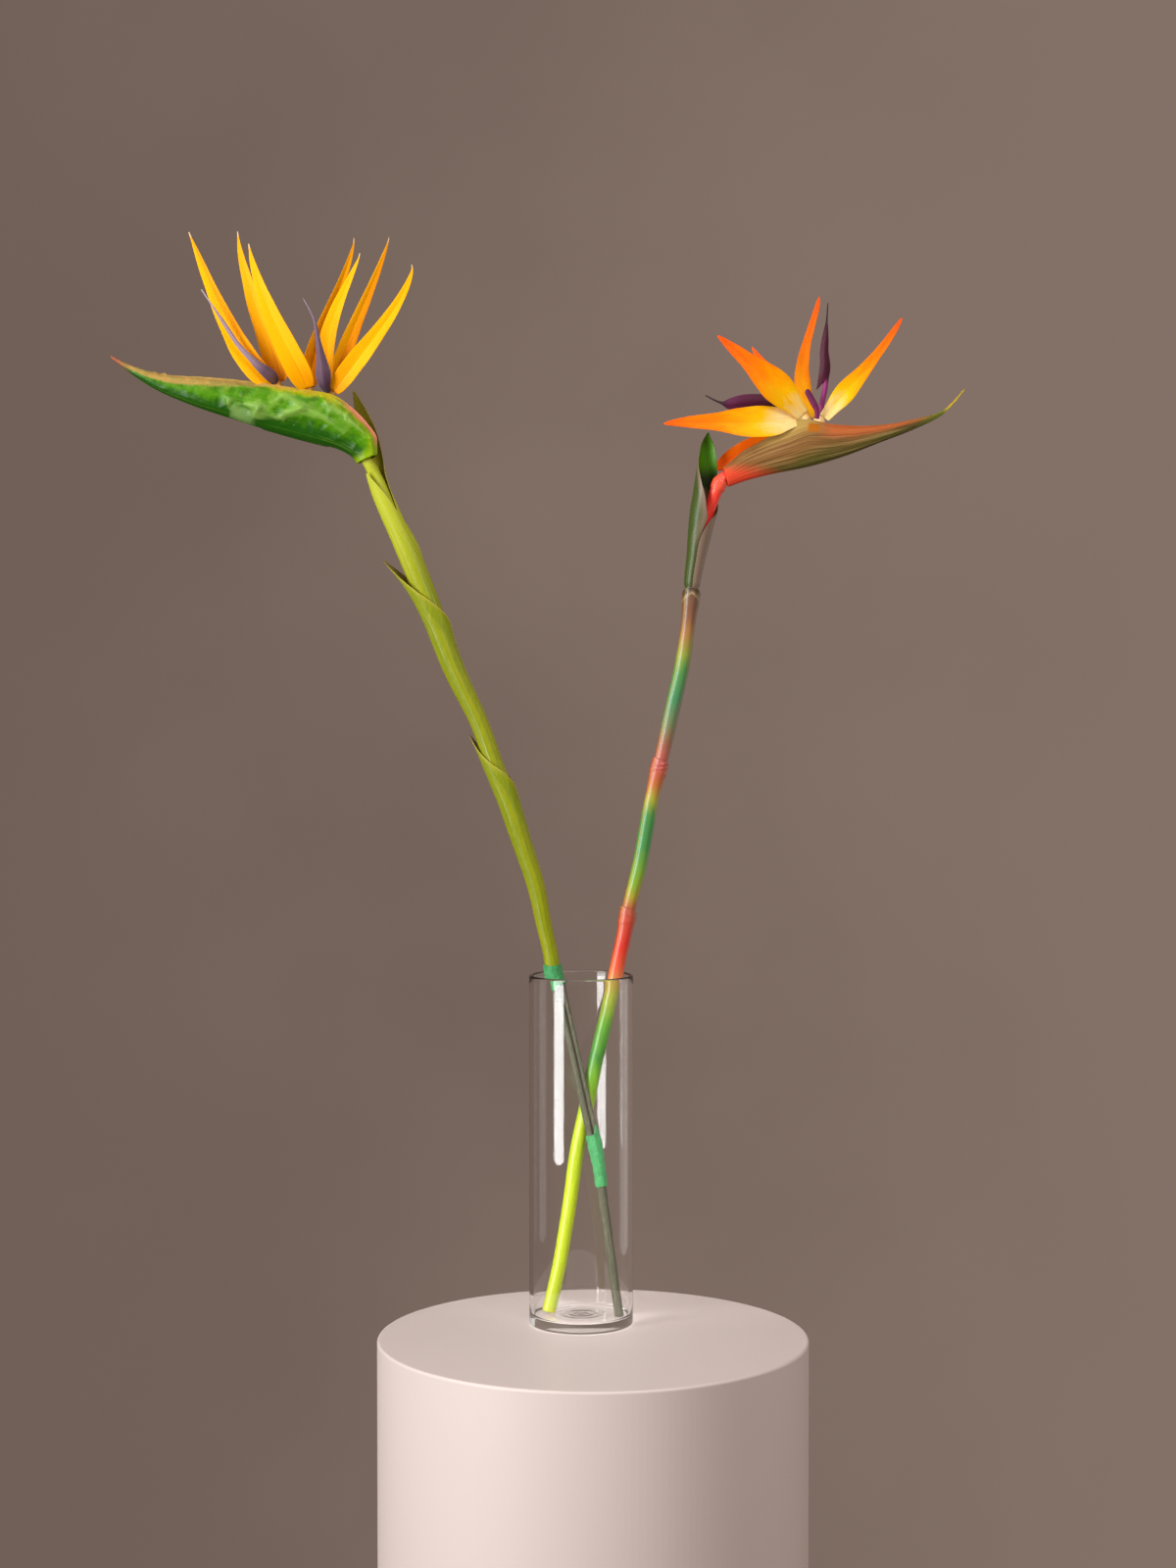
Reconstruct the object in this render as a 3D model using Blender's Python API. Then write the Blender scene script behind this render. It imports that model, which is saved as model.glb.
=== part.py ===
"""Two cut bird of paradise flowers standing in a clear glass cylinder vase.

The yellow flower leans left on a splint: its stalk is taped to two thin rods, and those are taped to one
stake that stands on the vase's floor. The orange flower leans right on its own long stalk.
Frame: origin at the middle of the vase's underside, +Z up, the flowers spread along X.
Tables are in millimetres, and every solid is built in metres.
"""
import bisect
import math

import bmesh
import bpy
from mathutils import Vector

MM = 0.001
Y_AXIS = Vector((0, 1, 0))

# Vase
VASE_RADIUS = 40.0
VASE_HEIGHT = 269.0
VASE_WALL = 3.0
VASE_FLOOR = 7.0
VASE_STEPS = 48

# Both flowers lie in a plane a little behind the vase's middle.
HEAD_Y = 18.0

STALK_SIDES = 12
TUBE_SIDES = 12
SHEATH_STEPS = 11
SHEATH_TURN = 17
ROD_SIDES = 10

# Stalks: x, y, z, radius, from the cut end up to the end of the axis inside the spathe.
YELLOW_STALK = [
    (-20.4, 17.6, 262, 4.5),
    (-24.0, 19.2, 285, 4.6),
    (-28.5, 19.5, 305, 4.7),
    (-35, 21, 336, 5.2),
    (-45, 22, 367, 5.5),
    (-55, 23, 398, 5.5),
    (-67, 24, 429, 5.3),
    (-78, 25, 460, 5.4),
    (-98, 25, 503, 5.7),
    (-114, 25, 545, 5.8),
    (-130, 24, 585, 5.8),
    (-144, 22.8, 618, 5.6),
    (-151, 21.9, 634, 5.4),
    (-157.3, 20.9, 649, 5.0),
    (-164.5, 18.6, 663, 4.2),
    (-174, 18, 674, 3.8),
    (-190, 18, 683, 3.4),
    (-210, 18, 690, 3.0),
    (-230, 18, 697, 2.4),
]
ORANGE_STALK = [
    (-25, 0.5, 8.6, 4.0),
    (-17, 3.4, 44, 4.0),
    (-9.5, 6.6, 88, 4.1),
    (-2.5, 9.8, 136, 4.1),
    (5, 12, 170, 4.1),
    (11, 13.4, 200, 4.1),
    (18.3, 14.4, 230, 4.1),
    (24.6, 15.2, 258, 4.1),
    (28.2, 15.6, 276, 4.1),
    (33, 16.4, 298, 4.1),
    (37, 17.5, 320, 4.1),
    (45, 20, 352, 4.1),
    (50, 21, 379, 4.1),
    (55, 21.5, 406, 4.1),
    (62, 22, 435, 4.1),
    (66.5, 22, 455, 4.1),
    (72, 22, 480, 4.1),
    (78, 22, 507, 4.1),
    (82, 21, 534, 4.1),
    (85, 20, 562, 4.1),
    (87.3, 20, 584, 4.2),
    (91, 20, 604, 4.3),
    (97, 19.5, 622, 4.5),
    (101.8, 18.5, 635, 4.7),
    (103.6, 18.2, 640, 5.0),
    (105.2, 18, 643.6, 6.0),
    (107.2, 18, 647.6, 6.0),
    (109.4, 18, 650.6, 4.5),
    (112.4, 18, 652.6, 4.0),
    (122, 18, 656.5, 3.3),
    (140, 18, 661.5, 3.1),
    (160, 18, 665.5, 2.9),
    (176, 18, 670.5, 2.5),
]

# Sheaths that clasp a stalk: height of the ring's centre, inner radius, half of the angle that it wraps.
SHEATH_WALL = 0.9
YELLOW_SHEATHS = {
    "yellow_stalk_sheath_1": (180, [
        (270, 5.05, 176), (288, 5.1, 176), (305, 5.35, 176), (336, 6.2, 176), (367, 6.7, 176),
        (386, 7.4, 176), (398, 7.6, 176), (408, 7.7, 168), (420, 7.95, 132), (432, 8.3, 84),
        (444, 9.0, 42), (457, 10.5, 4),
    ]),
    "yellow_stalk_sheath_2": (180, [
        (392, 6.1, 176), (410, 6.15, 176), (430, 6.35, 176), (457, 6.3, 176), (480, 6.8, 176),
        (500, 7.5, 176), (520, 8.1, 176), (534, 8.4, 172), (542, 8.6, 152), (551, 9.2, 118),
        (562, 10.4, 76), (576, 13.4, 36), (596, 20.5, 2),
    ]),
    "yellow_stalk_sheath_3": (-128, [
        (517, 6.35, 176), (535, 6.85, 176), (552, 7.5, 176), (566, 7.85, 176), (582, 7.9, 174),
        (594, 7.9, 150), (607, 7.8, 116), (621, 7.8, 84), (636, 7.7, 54), (648, 7.6, 26), (657, 7.6, 5),
    ]),
}
YELLOW_TOP_SHEATH_AXIS = [
    (-114, 25, 545), (-130, 24, 585), (-144, 22.8, 618), (-151, 21.9, 634), (-157.3, 20.9, 649),
    (-162.5, 22.5, 666), (-168, 25, 684), (-175, 26, 702), (-181, 26, 718),
]
YELLOW_TOP_SHEATH = (72, [
    (561, 6.3, 176), (575, 6.3, 174), (590, 6.3, 160), (605, 6.25, 140), (620, 6.15, 116),
    (635, 6.1, 94), (649, 7.0, 74), (666, 9.2, 58), (684, 11.2, 42), (702, 12.8, 22), (718, 13.6, 4),
])
ORANGE_TUBES = {
    "orange_stalk_sheath_1": [
        (9, 4.5), (60, 4.5), (130, 4.75), (200, 4.9), (260, 4.85), (290, 4.95), (303, 5.2), (309, 5.85),
        (319, 5.85),
    ],
    "orange_stalk_sheath_2": [
        (312, 4.5), (330, 4.5), (350, 4.9), (379, 5.0), (404, 4.6), (418, 5.2), (424, 5.85), (434, 5.85),
    ],
    "orange_stalk_sheath_3": [
        (427, 4.5), (440, 4.7), (460, 5.1), (480, 5.2), (507, 5.1), (534, 4.6), (548, 5.2), (555, 5.85),
        (566, 5.85),
    ],
}
ORANGE_TOP_SHEATH_AXIS = [
    (84.6, 20.1, 558), (86.1, 20, 574), (88.6, 20, 590), (91, 20, 606), (93.4, 20, 620),
    (96.5, 19.5, 636), (98, 18.5, 650), (98.5, 17.5, 666), (99, 16.5, 686),
]
ORANGE_TOP_SHEATH = (150, [
    (559, 4.45, 176), (569, 4.5, 176), (575, 5.3, 176), (590, 6.6, 176), (606, 8.1, 174), (618, 9.2, 160),
    (630, 10.0, 132), (642, 9.8, 100), (656, 8.4, 80), (668, 6.6, 64), (678, 4.0, 48), (685, 1.3, 20),
])

# Spathes: keel x, keel z, margin x, margin z, half width, half of the slot between the margins.
YELLOW_SPATHE = [
    (-172, 661.5, -157, 668, 8.0, 0.5),
    (-178, 668, -157, 680, 8.4, 0.5),
    (-188, 673, -165, 693, 8.6, 0.5),
    (-200, 676, -177, 705, 9.2, 2.0),
    (-214, 679.5, -191, 714, 9.4, 4.6),
    (-232, 684.5, -212, 718, 9.2, 4.6),
    (-252, 690.5, -238, 722, 8.8, 4.2),
    (-272, 697, -262, 725.5, 8.0, 0.5),
    (-297, 705.5, -290, 728, 6.8, 0.5),
    (-324, 717, -319, 729.5, 5.0, 0.5),
    (-345, 730, -344, 736, 2.8, 0.4),
    (-361.5, 742.5, -362, 744.5, 1.1, 0.2),
]
ORANGE_SPATHE = [
    (113.2, 644, 109, 658.5, 6.2, 0.5),
    (120, 646.5, 115.5, 663.5, 6.8, 0.5),
    (131, 650, 125, 671.5, 7.2, 0.6),
    (146, 653.5, 141, 680, 7.6, 0.8),
    (162, 656.5, 158, 687.5, 8.2, 3.0),
    (178, 660, 176, 694, 8.8, 5.4),
    (195, 665, 196, 691, 7.8, 4.6),
    (212, 671, 216, 690.5, 6.0, 0.8),
    (235, 680, 238, 692, 4.4, 0.6),
    (256, 688.5, 258, 696, 3.0, 0.5),
    (275, 697.5, 276, 701, 1.8, 0.3),
    (286, 707, 285.5, 708.6, 1.1, 0.2),
    (295, 718, 294.6, 719.2, 0.8, 0.15),
]
SPATHE_WALL = 1.2
# Half profile of a spathe from keel to margin: share of the height, share of the half width.
SPATHE_PROFILE = [(0.0, 0.0), (0.07, 0.46), (0.3, 0.88), (0.56, 1.0), (0.82, 0.86)]

# Florets: foot on the flower axis, middle of the knob that its sepals grow from, knob radius.
FLORETS = {
    "yellow_floret_1": ((-224, 18, 699.2), (-233, 18, 721.5), 3.3),
    "yellow_floret_2": ((-203, 18, 692.2), (-209, 18, 717), 3.3),
    "yellow_floret_3": ((-188, 18, 687.2), (-193, 18, 714.5), 3.6),
    "orange_floret_1": ((163, 18, 671), (172, 18, 696), 4.4),
    "orange_floret_2": ((174, 18, 674.4), (182.8, 18, 694), 4.4),
}
KNOB_GAP = 0.55

# Sepals of each floret: direction from its knob to the root, points a third and two thirds of the way
# along, tip, greatest width, roll in degrees, fold in degrees.
SEPALS = {
    "yellow_floret_1": [
        ((-0.8, -0.1, 0.6), (-263.5, 16, 757), (-286, 18, 798), (-301, 19, 839), 17, 12, 26),
        ((-0.1, 0.45, 0.88), (-243, 27, 762), (-257, 28, 802), (-265, 27, 841), 16, -15, 24),
    ],
    "yellow_floret_2": [
        ((-0.05, -0.8, 0.6), (-225, 3, 754), (-240, -1, 790), (-253, 1, 827), 19, -8, 20),
        ((0.0, 0.6, 0.8), (-204, 31, 758), (-189, 35, 797), (-175, 36, 838), 15, 14, 26),
    ],
    "yellow_floret_3": [
        ((-0.35, 0.2, 0.9), (-195.5, 22, 753), (-183, 24, 789), (-169, 24, 825), 13, -10, 24),
        ((0.1, 0.45, 0.88), (-183, 27, 757), (-164, 31, 796), (-148, 31, 837), 14, 18, 26),
        ((0.75, -0.4, 0.5), (-165, 9, 748), (-142.5, 6, 781), (-129, 7, 813), 15, 10, 18),
    ],
    "orange_floret_1": [
        ((-0.85, -0.5, 0.1), (137, 8, 693.5), (102, 4, 694.5), (63, 2, 691), 24, 0, 10),
        ((-0.3, -0.84, 0.45), (154.5, 1, 707.5), (130.5, -7, 728.5), (103, -12, 756), 23, 0, 12),
        ((-0.3, 0.6, 0.74), (161, 32, 715.5), (148, 46.5, 736), (134, 60, 758), 20, 0, 14),
        ((-0.7, 0.7, 0.1), (154, 28.5, 690), (131, 32, 676), (103, 33, 655), 16, 0, 12),
    ],
    "orange_floret_2": [
        ((-0.45, 0.5, 0.74), (172.5, 29, 727), (175, 36, 759), (185, 40, 793), 18, 44, 20),
        ((0.8, -0.35, 0.5), (205, 11.5, 715.5), (226.5, 9.5, 742), (246, 10, 772), 19, 0, 16),
    ],
}
SEPAL_STATIONS = (0, 0.06, 0.14, 0.26, 0.4, 0.54, 0.68, 0.81, 0.92, 1)
SEPAL_ACROSS = (-1, -0.5, 0, 0.5, 1)
SEPAL_THICKNESS = 1.1
SEPAL_EDGE = 0.5
# Share of the greatest width at a share of the length.
SEPAL_OUTLINE = [
    (0, 0.18), (0.1, 0.52), (0.25, 0.9), (0.38, 1.0), (0.55, 0.86), (0.72, 0.54), (0.88, 0.26), (1, 0.05),
]

# Arrow petals: floret, direction from its knob to the root, further points, greatest width, share of the
# length where the blade begins, length of the barbs, roll in degrees.
ARROWS = {
    "yellow_arrow_petal_1": (
        "yellow_floret_1", (-0.4, -0.8, 0.45),
        [(-239, 11.5, 729), (-249, 9, 737), (-262, 8, 750), (-277, 8, 771), (-291, 8, 794)],
        9, 0.08, 2, 0,
    ),
    "yellow_arrow_petal_2": (
        "yellow_floret_3", (-0.15, -0.85, 0.5),
        [(-196, 9, 722), (-197.5, 7, 736), (-200, 5, 752), (-203, 4, 770), (-211, 4, 786)],
        10, 0.1, 2, 0,
    ),
    "orange_arrow_petal_1": (
        "orange_floret_1", (-0.8, 0.1, 0.6),
        [(159, 21, 703), (146, 24, 708), (128, 26, 712), (110, 28, 711.5), (95, 30, 718)],
        10, 0.3, 5, 0,
    ),
    "orange_arrow_petal_2": (
        "orange_floret_2", (0.1, -0.15, 0.98),
        [(184.5, 14, 710), (186, 11, 726), (184.5, 8, 744), (187, 8, 766), (188.5, 8, 783)],
        8.5, 0.3, 9, 10,
    ),
    "orange_short_petal": (
        "orange_floret_2", (-0.35, -0.85, 0.4),
        [(178, 9.5, 701), (174, 7.5, 708), (169, 6, 716)],
        4, 0.3, 0, 20,
    ),
}
ARROW_ACROSS = (-1, -0.4, 0, 0.4, 1)
ARROW_THICKNESS = 2.6
ARROW_STALK = 2.2

# Splint of the yellow flower: x, y, z of each end, radius.
STAKE = ((28.6, -14.4, 8.2), (13.2, -3.4, 125.0), 3.5)
THICK_ROD = ((11.6, -3.4, 125.8), (-18.6, 16.0, 257.0), 2.7)
THIN_ROD_RADIUS = 1.6
THIN_ROD_SIDE = 4.7
THIN_ROD_RAISE = 8.0

# Floral tapes: x, y, z, inner radius.
TAPE_WALL = 0.5
STALK_TAPE = [
    (-15.1, 15.1, 250.0, 5.2),
    (-18.1, 16.8, 260.0, 5.9),
    (-21.2, 18.0, 267.5, 6.45),
    (-22.5, 18.5, 275.5, 6.45),
]
SPLICE_TAPE = [
    (15.6, -5.2, 107, 4.1),
    (13.8, -3.9, 121, 4.4),
    (12.0, -2.6, 132, 5.3),
    (8.6, -0.6, 147, 5.5),
]


def clear_scene():
    for item in list(bpy.data.objects):
        bpy.data.objects.remove(item, do_unlink=True)


def make_material(name, colour, roughness, transmission=0.0):
    material = bpy.data.materials.new(name)
    material.use_nodes = True
    shader = material.node_tree.nodes["Principled BSDF"]
    shader.inputs["Base Color"].default_value = (*colour, 1)
    shader.inputs["Roughness"].default_value = roughness
    shader.inputs["Metallic"].default_value = 0.0
    shader.inputs["Transmission Weight"].default_value = transmission
    material.diffuse_color = (*colour, 1)
    return material


def add_group(name, location):
    """An empty that a flower's or the splint's pieces hang on."""
    group = bpy.data.objects.new(name, None)
    group.empty_display_size = 0.02
    group.location = Vector(location) * MM
    bpy.context.scene.collection.objects.link(group)
    return group


def add_object(name, builder, material, origin, group=None):
    """An object at its origin, in millimetres, from a builder whose points are relative to that origin."""
    bmesh.ops.recalc_face_normals(builder, faces=builder.faces)
    mesh = bpy.data.meshes.new(name)
    builder.to_mesh(mesh)
    builder.free()
    mesh.materials.append(material)
    mesh.shade_smooth()
    mesh.set_sharp_from_angle(angle=math.radians(40))
    item = bpy.data.objects.new(name, mesh)
    item.location = Vector(origin) * MM
    if group:
        item.parent = group
        item.location -= group.location
    bpy.context.scene.collection.objects.link(item)


def curve_point(points, share):
    """A point on the smooth curve through all points, at a share of the way from the first to the last."""
    last = len(points) - 1
    place = min(max(share, 0), 1) * last
    i = min(int(place), last - 1)
    t = place - i
    a, b, c, d = (Vector(points[min(max(k, 0), last)]) for k in (i - 1, i, i + 1, i + 2))
    return b + 0.5 * t * (c - a + t * (2 * a - 5 * b + 4 * c - d + t * (3 * (b - c) + d - a)))


def frame_at(before, after):
    """Direction of travel, and two square directions: one nearest +X on an upright path, one nearest +Y."""
    along = (after - before).normalized()
    back = (Y_AXIS - along * Y_AXIS.dot(along)).normalized()
    return along, back.cross(along), back


class Path:
    """A rising line through rows of x, y, z and perhaps a radius, straight between them."""

    def __init__(self, rows):
        self.rows = rows
        self.heights = [row[2] for row in rows]

    def at(self, height):
        """Centre, side and back directions, and what else the rows hold, at a height."""
        i = min(max(bisect.bisect_right(self.heights, height), 1), len(self.rows) - 1)
        below, above = self.rows[i - 1], self.rows[i]
        share = (height - below[2]) / (above[2] - below[2])
        row = [a + (b - a) * share for a, b in zip(below, above)]
        if height in self.heights[1:-1]:
            knot = self.heights.index(height)
            below, above = self.rows[knot - 1], self.rows[knot + 1]
        _, side, back = frame_at(Vector(below[:3]), Vector(above[:3]))
        return Vector(row[:3]), side, back, row[3:]

    def stations(self, rows):
        """The rows of a sleeve on this path, with one more wherever the path bends between them."""
        heights = {row[0] for row in rows} | {h for h in self.heights if rows[0][0] < h < rows[-1][0]}
        return [(height, *values_at(rows, height)) for height in sorted(heights)]


def fine_stations(rows):
    """The same rows, with more between those where the half angle, the last value, changes fast."""
    fine = []
    for below, above in zip(rows, rows[1:]):
        parts = math.ceil(abs(above[2] - below[2]) / SHEATH_TURN)
        for k in range(max(parts, 1)):
            share = k / max(parts, 1)
            fine.append([a + (b - a) * share for a, b in zip(below, above)])
    return fine + [rows[-1]]


def values_at(rows, height):
    """What rows of height and further values hold at a height between the first and the last."""
    for below, above in zip(rows, rows[1:]):
        if height <= above[0]:
            share = (height - below[0]) / (above[0] - below[0])
            return [a + (b - a) * share for a, b in zip(below[1:], above[1:])]
    return list(rows[-1][1:])


def sweep(name, sections, material, group, hollow=False):
    """A closed solid: a cross section extruded through sections, each a list of points in millimetres.

    A hollow section lists its outer ring and then its inner ring, with as many points."""
    origin = sum(sections[0], Vector()) / len(sections[0])
    builder = bmesh.new()
    index = builder.verts.layers.int.new("index")
    first = [builder.verts.new((point - origin) * MM) for point in sections[0]]
    for k, vert in enumerate(first):
        vert[index] = k
    if hollow:
        half = len(first) // 2
        turn = [(i, (i + 1) % half) for i in range(half)]
        faces = [builder.faces.new((first[i], first[j], first[half + j], first[half + i])) for i, j in turn]
    else:
        faces = [builder.faces.new(first)]
    for section in sections[1:]:
        edges = list({edge for face in faces for edge in face.edges})
        grown = bmesh.ops.extrude_face_region(builder, geom=faces + edges)["geom"]
        faces = [item for item in grown if isinstance(item, bmesh.types.BMFace)]
        for vert in (item for item in grown if isinstance(item, bmesh.types.BMVert)):
            vert.co = (section[vert[index]] - origin) * MM
    add_object(name, builder, material, origin, group)


def circle(centre, side, back, radius, count):
    turns = [2 * math.pi * k / count for k in range(count)]
    return [centre + radius * (math.cos(a) * side + math.sin(a) * back) for a in turns]


def make_vase(material):
    """The turned glass: flat underside, thick floor, straight wall and a rounded rim."""
    inner = VASE_RADIUS - VASE_WALL
    corner = 1.2
    rim_middle = VASE_RADIUS - VASE_WALL / 2
    profile = [
        (0, 0), (VASE_RADIUS - corner, 0), (VASE_RADIUS, corner), (VASE_RADIUS, VASE_HEIGHT - corner),
        (rim_middle, VASE_HEIGHT), (inner, VASE_HEIGHT - corner), (inner, VASE_FLOOR + corner),
        (inner - corner, VASE_FLOOR), (0, VASE_FLOOR),
    ]
    builder = bmesh.new()
    verts = [builder.verts.new((x * MM, 0, z * MM)) for x, z in profile]
    edges = [builder.edges.new(pair) for pair in zip(verts, verts[1:])]
    bmesh.ops.spin(
        builder, geom=verts + edges, cent=(0, 0, 0), axis=(0, 0, 1), angle=2 * math.pi, steps=VASE_STEPS,
        use_merge=True,
    )
    bmesh.ops.remove_doubles(builder, verts=builder.verts, dist=0.01 * MM)
    add_object("glass_vase", builder, material, (0, 0, 0))


def make_stalk(name, path, material, group):
    sections = []
    for height in path.heights:
        centre, side, back, (radius,) = path.at(height)
        sections.append(circle(centre, side, back, radius, STALK_SIDES))
    sweep(name, sections, material, group)


def make_sheath(name, path, azimuth, rows, material, group):
    """A leaf base wrapped round a stalk, its mouth slanting up to a free tip at azimuth degrees from +X."""
    sections = []
    for height, radius, half_angle in fine_stations(path.stations(rows)):
        centre, side, back, _ = path.at(height)
        turns = [
            math.radians(azimuth + half_angle * (2 * k / SHEATH_STEPS - 1)) for k in range(SHEATH_STEPS + 1)
        ]
        rays = [math.cos(a) * side + math.sin(a) * back for a in turns]
        outer = [centre + (radius + SHEATH_WALL) * ray for ray in rays]
        inner = [centre + radius * ray for ray in reversed(rays)]
        sections.append(outer + inner)
    sweep(name, sections, material, group)


def make_tube(name, path, rows, wall, material, group):
    """A sleeve closed all the way round, from heights and inner radii along the path."""
    sections = []
    for height, radius in path.stations(rows):
        centre, side, back, _ = path.at(height)
        outer = circle(centre, side, back, radius + wall, TUBE_SIDES)
        inner = circle(centre, side, back, radius, TUBE_SIDES)
        sections.append(outer + inner)
    sweep(name, sections, material, group, hollow=True)


def make_spathe(name, rows, material, group):
    """A folded boat of a leaf: a keel, two sides, and a slot between the margins for the florets."""
    sections = []
    for keel_x, keel_z, top_x, top_z, half_width, slot in rows:
        keel = Vector((keel_x, HEAD_Y, keel_z))
        up = Vector((top_x, HEAD_Y, top_z)) - keel
        height = up.length
        up.normalize()
        wall = min(SPATHE_WALL, 0.35 * half_width)
        outer = [(share * height, width * half_width) for share, width in SPATHE_PROFILE]
        outer.append((height, slot + wall))
        inner = [
            (wall + share * (height - wall), max(width * half_width - wall, 0))
            for share, width in SPATHE_PROFILE
        ]
        inner.append((height, slot))
        ring = [(h, w) for h, w in reversed(outer)] + [(h, -w) for h, w in outer[1:]]
        ring += [(h, -w) for h, w in reversed(inner)] + [(h, w) for h, w in inner[1:]]
        sections.append([keel + h * up + w * Y_AXIS for h, w in ring])
    sweep(name, sections, material, group)


def make_floret(name, foot, knob, knob_radius, material, group):
    """A floret's tube from the flower axis up to the round knob that its sepals grow from."""
    foot, knob = Vector(foot), Vector(knob)
    along, side, back = frame_at(foot, knob)
    sections = [circle(foot, side, back, 1.9, ROD_SIDES)]
    for turn in (-62, -30, 0, 30, 60, 82):
        angle = math.radians(turn)
        centre = knob + along * knob_radius * math.sin(angle)
        sections.append(circle(centre, side, back, knob_radius * math.cos(angle), ROD_SIDES))
    sweep(name, sections, material, group)


def root_of(floret, direction):
    _, knob, radius = FLORETS[floret]
    return Vector(knob) + (radius + KNOB_GAP) * Vector(direction).normalized()


def outline_at(share):
    for (a, low), (b, high) in zip(SEPAL_OUTLINE, SEPAL_OUTLINE[1:]):
        if share <= b:
            return low + (high - low) * (share - a) / (b - a)
    return SEPAL_OUTLINE[-1][1]


def blade_frame(before, after, roll):
    """Direction along a blade, across it and out of its face; unrolled, the face looks towards -Y."""
    along = (after - before).normalized()
    face = (-Y_AXIS + along * Y_AXIS.dot(along)).normalized()
    across = along.cross(face)
    angle = math.radians(roll)
    rolled_face = math.cos(angle) * face + math.sin(angle) * across
    return along, along.cross(rolled_face), rolled_face


def blade_section(spine, face):
    """The section of a blade from its middle points across it, each with half the thickness there."""
    front = [middle + depth * face for middle, depth in spine]
    rear = [middle - depth * face for middle, depth in reversed(spine)]
    return front + rear


def bezier(points, t):
    a, b, c, d = points
    s = 1 - t
    return s * s * s * a + 3 * s * s * t * b + 3 * s * t * t * c + t * t * t * d


def make_sepal(name, floret, spec, material, group):
    """A lance-shaped blade folded along its keel."""
    direction, near, far, tip, width, roll, fold = spec
    root, near, far, tip = root_of(floret, direction), Vector(near), Vector(far), Vector(tip)
    guide_1 = (18 * near - 9 * far + 2 * tip - 5 * root) / 6
    guide_2 = (18 * far - 9 * near + 2 * root - 5 * tip) / 6
    points = (root, guide_1, guide_2, tip)
    fold_angle = math.radians(fold)
    sections = []
    for t in SEPAL_STATIONS:
        centre = bezier(points, t)
        _, across, face = blade_frame(bezier(points, t - 0.01), bezier(points, t + 0.01), roll)
        half = 0.5 * width * outline_at(t)
        out = half * math.cos(fold_angle) * across
        rise = half * math.sin(fold_angle) * face
        taper = min(1, 0.45 + half / 4)
        spine = []
        for u in SEPAL_ACROSS:
            depth = 0.5 * taper * (SEPAL_THICKNESS + (SEPAL_EDGE - SEPAL_THICKNESS) * abs(u))
            spine.append((centre + u * out + abs(u) * rise, depth))
        sections.append(blade_section(spine, face))
    sweep(name, sections, material, group)


def make_arrow(name, spec, material, group):
    """A petal on a thin stalk: an arrow head with barbs, drawn out into a thread."""
    floret, direction, further, width, blade_start, barb, roll = spec
    root = root_of(floret, direction)
    points = [tuple(root)] + further
    stalk_half = ARROW_STALK / 2
    stations = [
        (0.0, stalk_half, 0),
        (blade_start, stalk_half, 0),
        (blade_start + 0.05, width * 0.46, barb),
        (blade_start + 0.16, width * 0.5, barb * 0.4),
        (blade_start + 0.3, width * 0.34, 0),
        (0.78, width * 0.12, 0),
        (0.9, 0.55, 0),
        (1.0, 0.4, 0),
    ]
    sections = []
    for share, half, back_sweep in stations:
        centre = curve_point(points, share)
        before, after = curve_point(points, share - 0.01), curve_point(points, share + 0.01)
        along, across, face = blade_frame(before, after, roll)
        thick = min(ARROW_THICKNESS / 2, half)
        spine = []
        for u in ARROW_ACROSS:
            middle = centre + u * half * across - abs(u) * back_sweep * along
            spine.append((middle, thick * (1 - 0.6 * abs(u))))
        sections.append(blade_section(spine, face))
    sweep(name, sections, material, group)


def make_rod(name, start, end, radius, material, group):
    start, end = Vector(start), Vector(end)
    _, side, back = frame_at(start, end)
    sweep(name, [circle(p, side, back, radius, ROD_SIDES) for p in (start, end)], material, group)


def make_splint(cane, tape):
    """Stake, two thin rods side by side above it, and the tapes round both joints."""
    group = add_group("splint", STAKE[0])
    make_rod("splint_stake", *STAKE, cane, group)
    low, high, radius = THICK_ROD
    make_rod("splint_thick_rod", low, high, radius, cane, group)
    low, high = Vector(low), Vector(high)
    _, side, _ = frame_at(low, high)
    shift = side * THIN_ROD_SIDE
    start = low + shift + (high - low).normalized() * THIN_ROD_RAISE
    make_rod("splint_thin_rod", start, high + shift, THIN_ROD_RADIUS, cane, group)
    for name, rows in (("stalk_tape", STALK_TAPE), ("splice_tape", SPLICE_TAPE)):
        sleeve = [(row[2], row[3]) for row in rows]
        make_tube(name, Path(rows), sleeve, TAPE_WALL, tape, group)


def make_florets(colour, floret_material, sepal_material, petal_material, group):
    """The florets of the flower of that colour, with their sepals and petals."""
    count = 0
    for floret, (foot, knob, radius) in FLORETS.items():
        if not floret.startswith(colour):
            continue
        make_floret(floret, foot, knob, radius, floret_material, group)
        for spec in SEPALS[floret]:
            count += 1
            make_sepal(f"{colour}_sepal_{count}", floret, spec, sepal_material, group)
    for name, spec in ARROWS.items():
        if name.startswith(colour):
            make_arrow(name, spec, petal_material, group)


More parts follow.
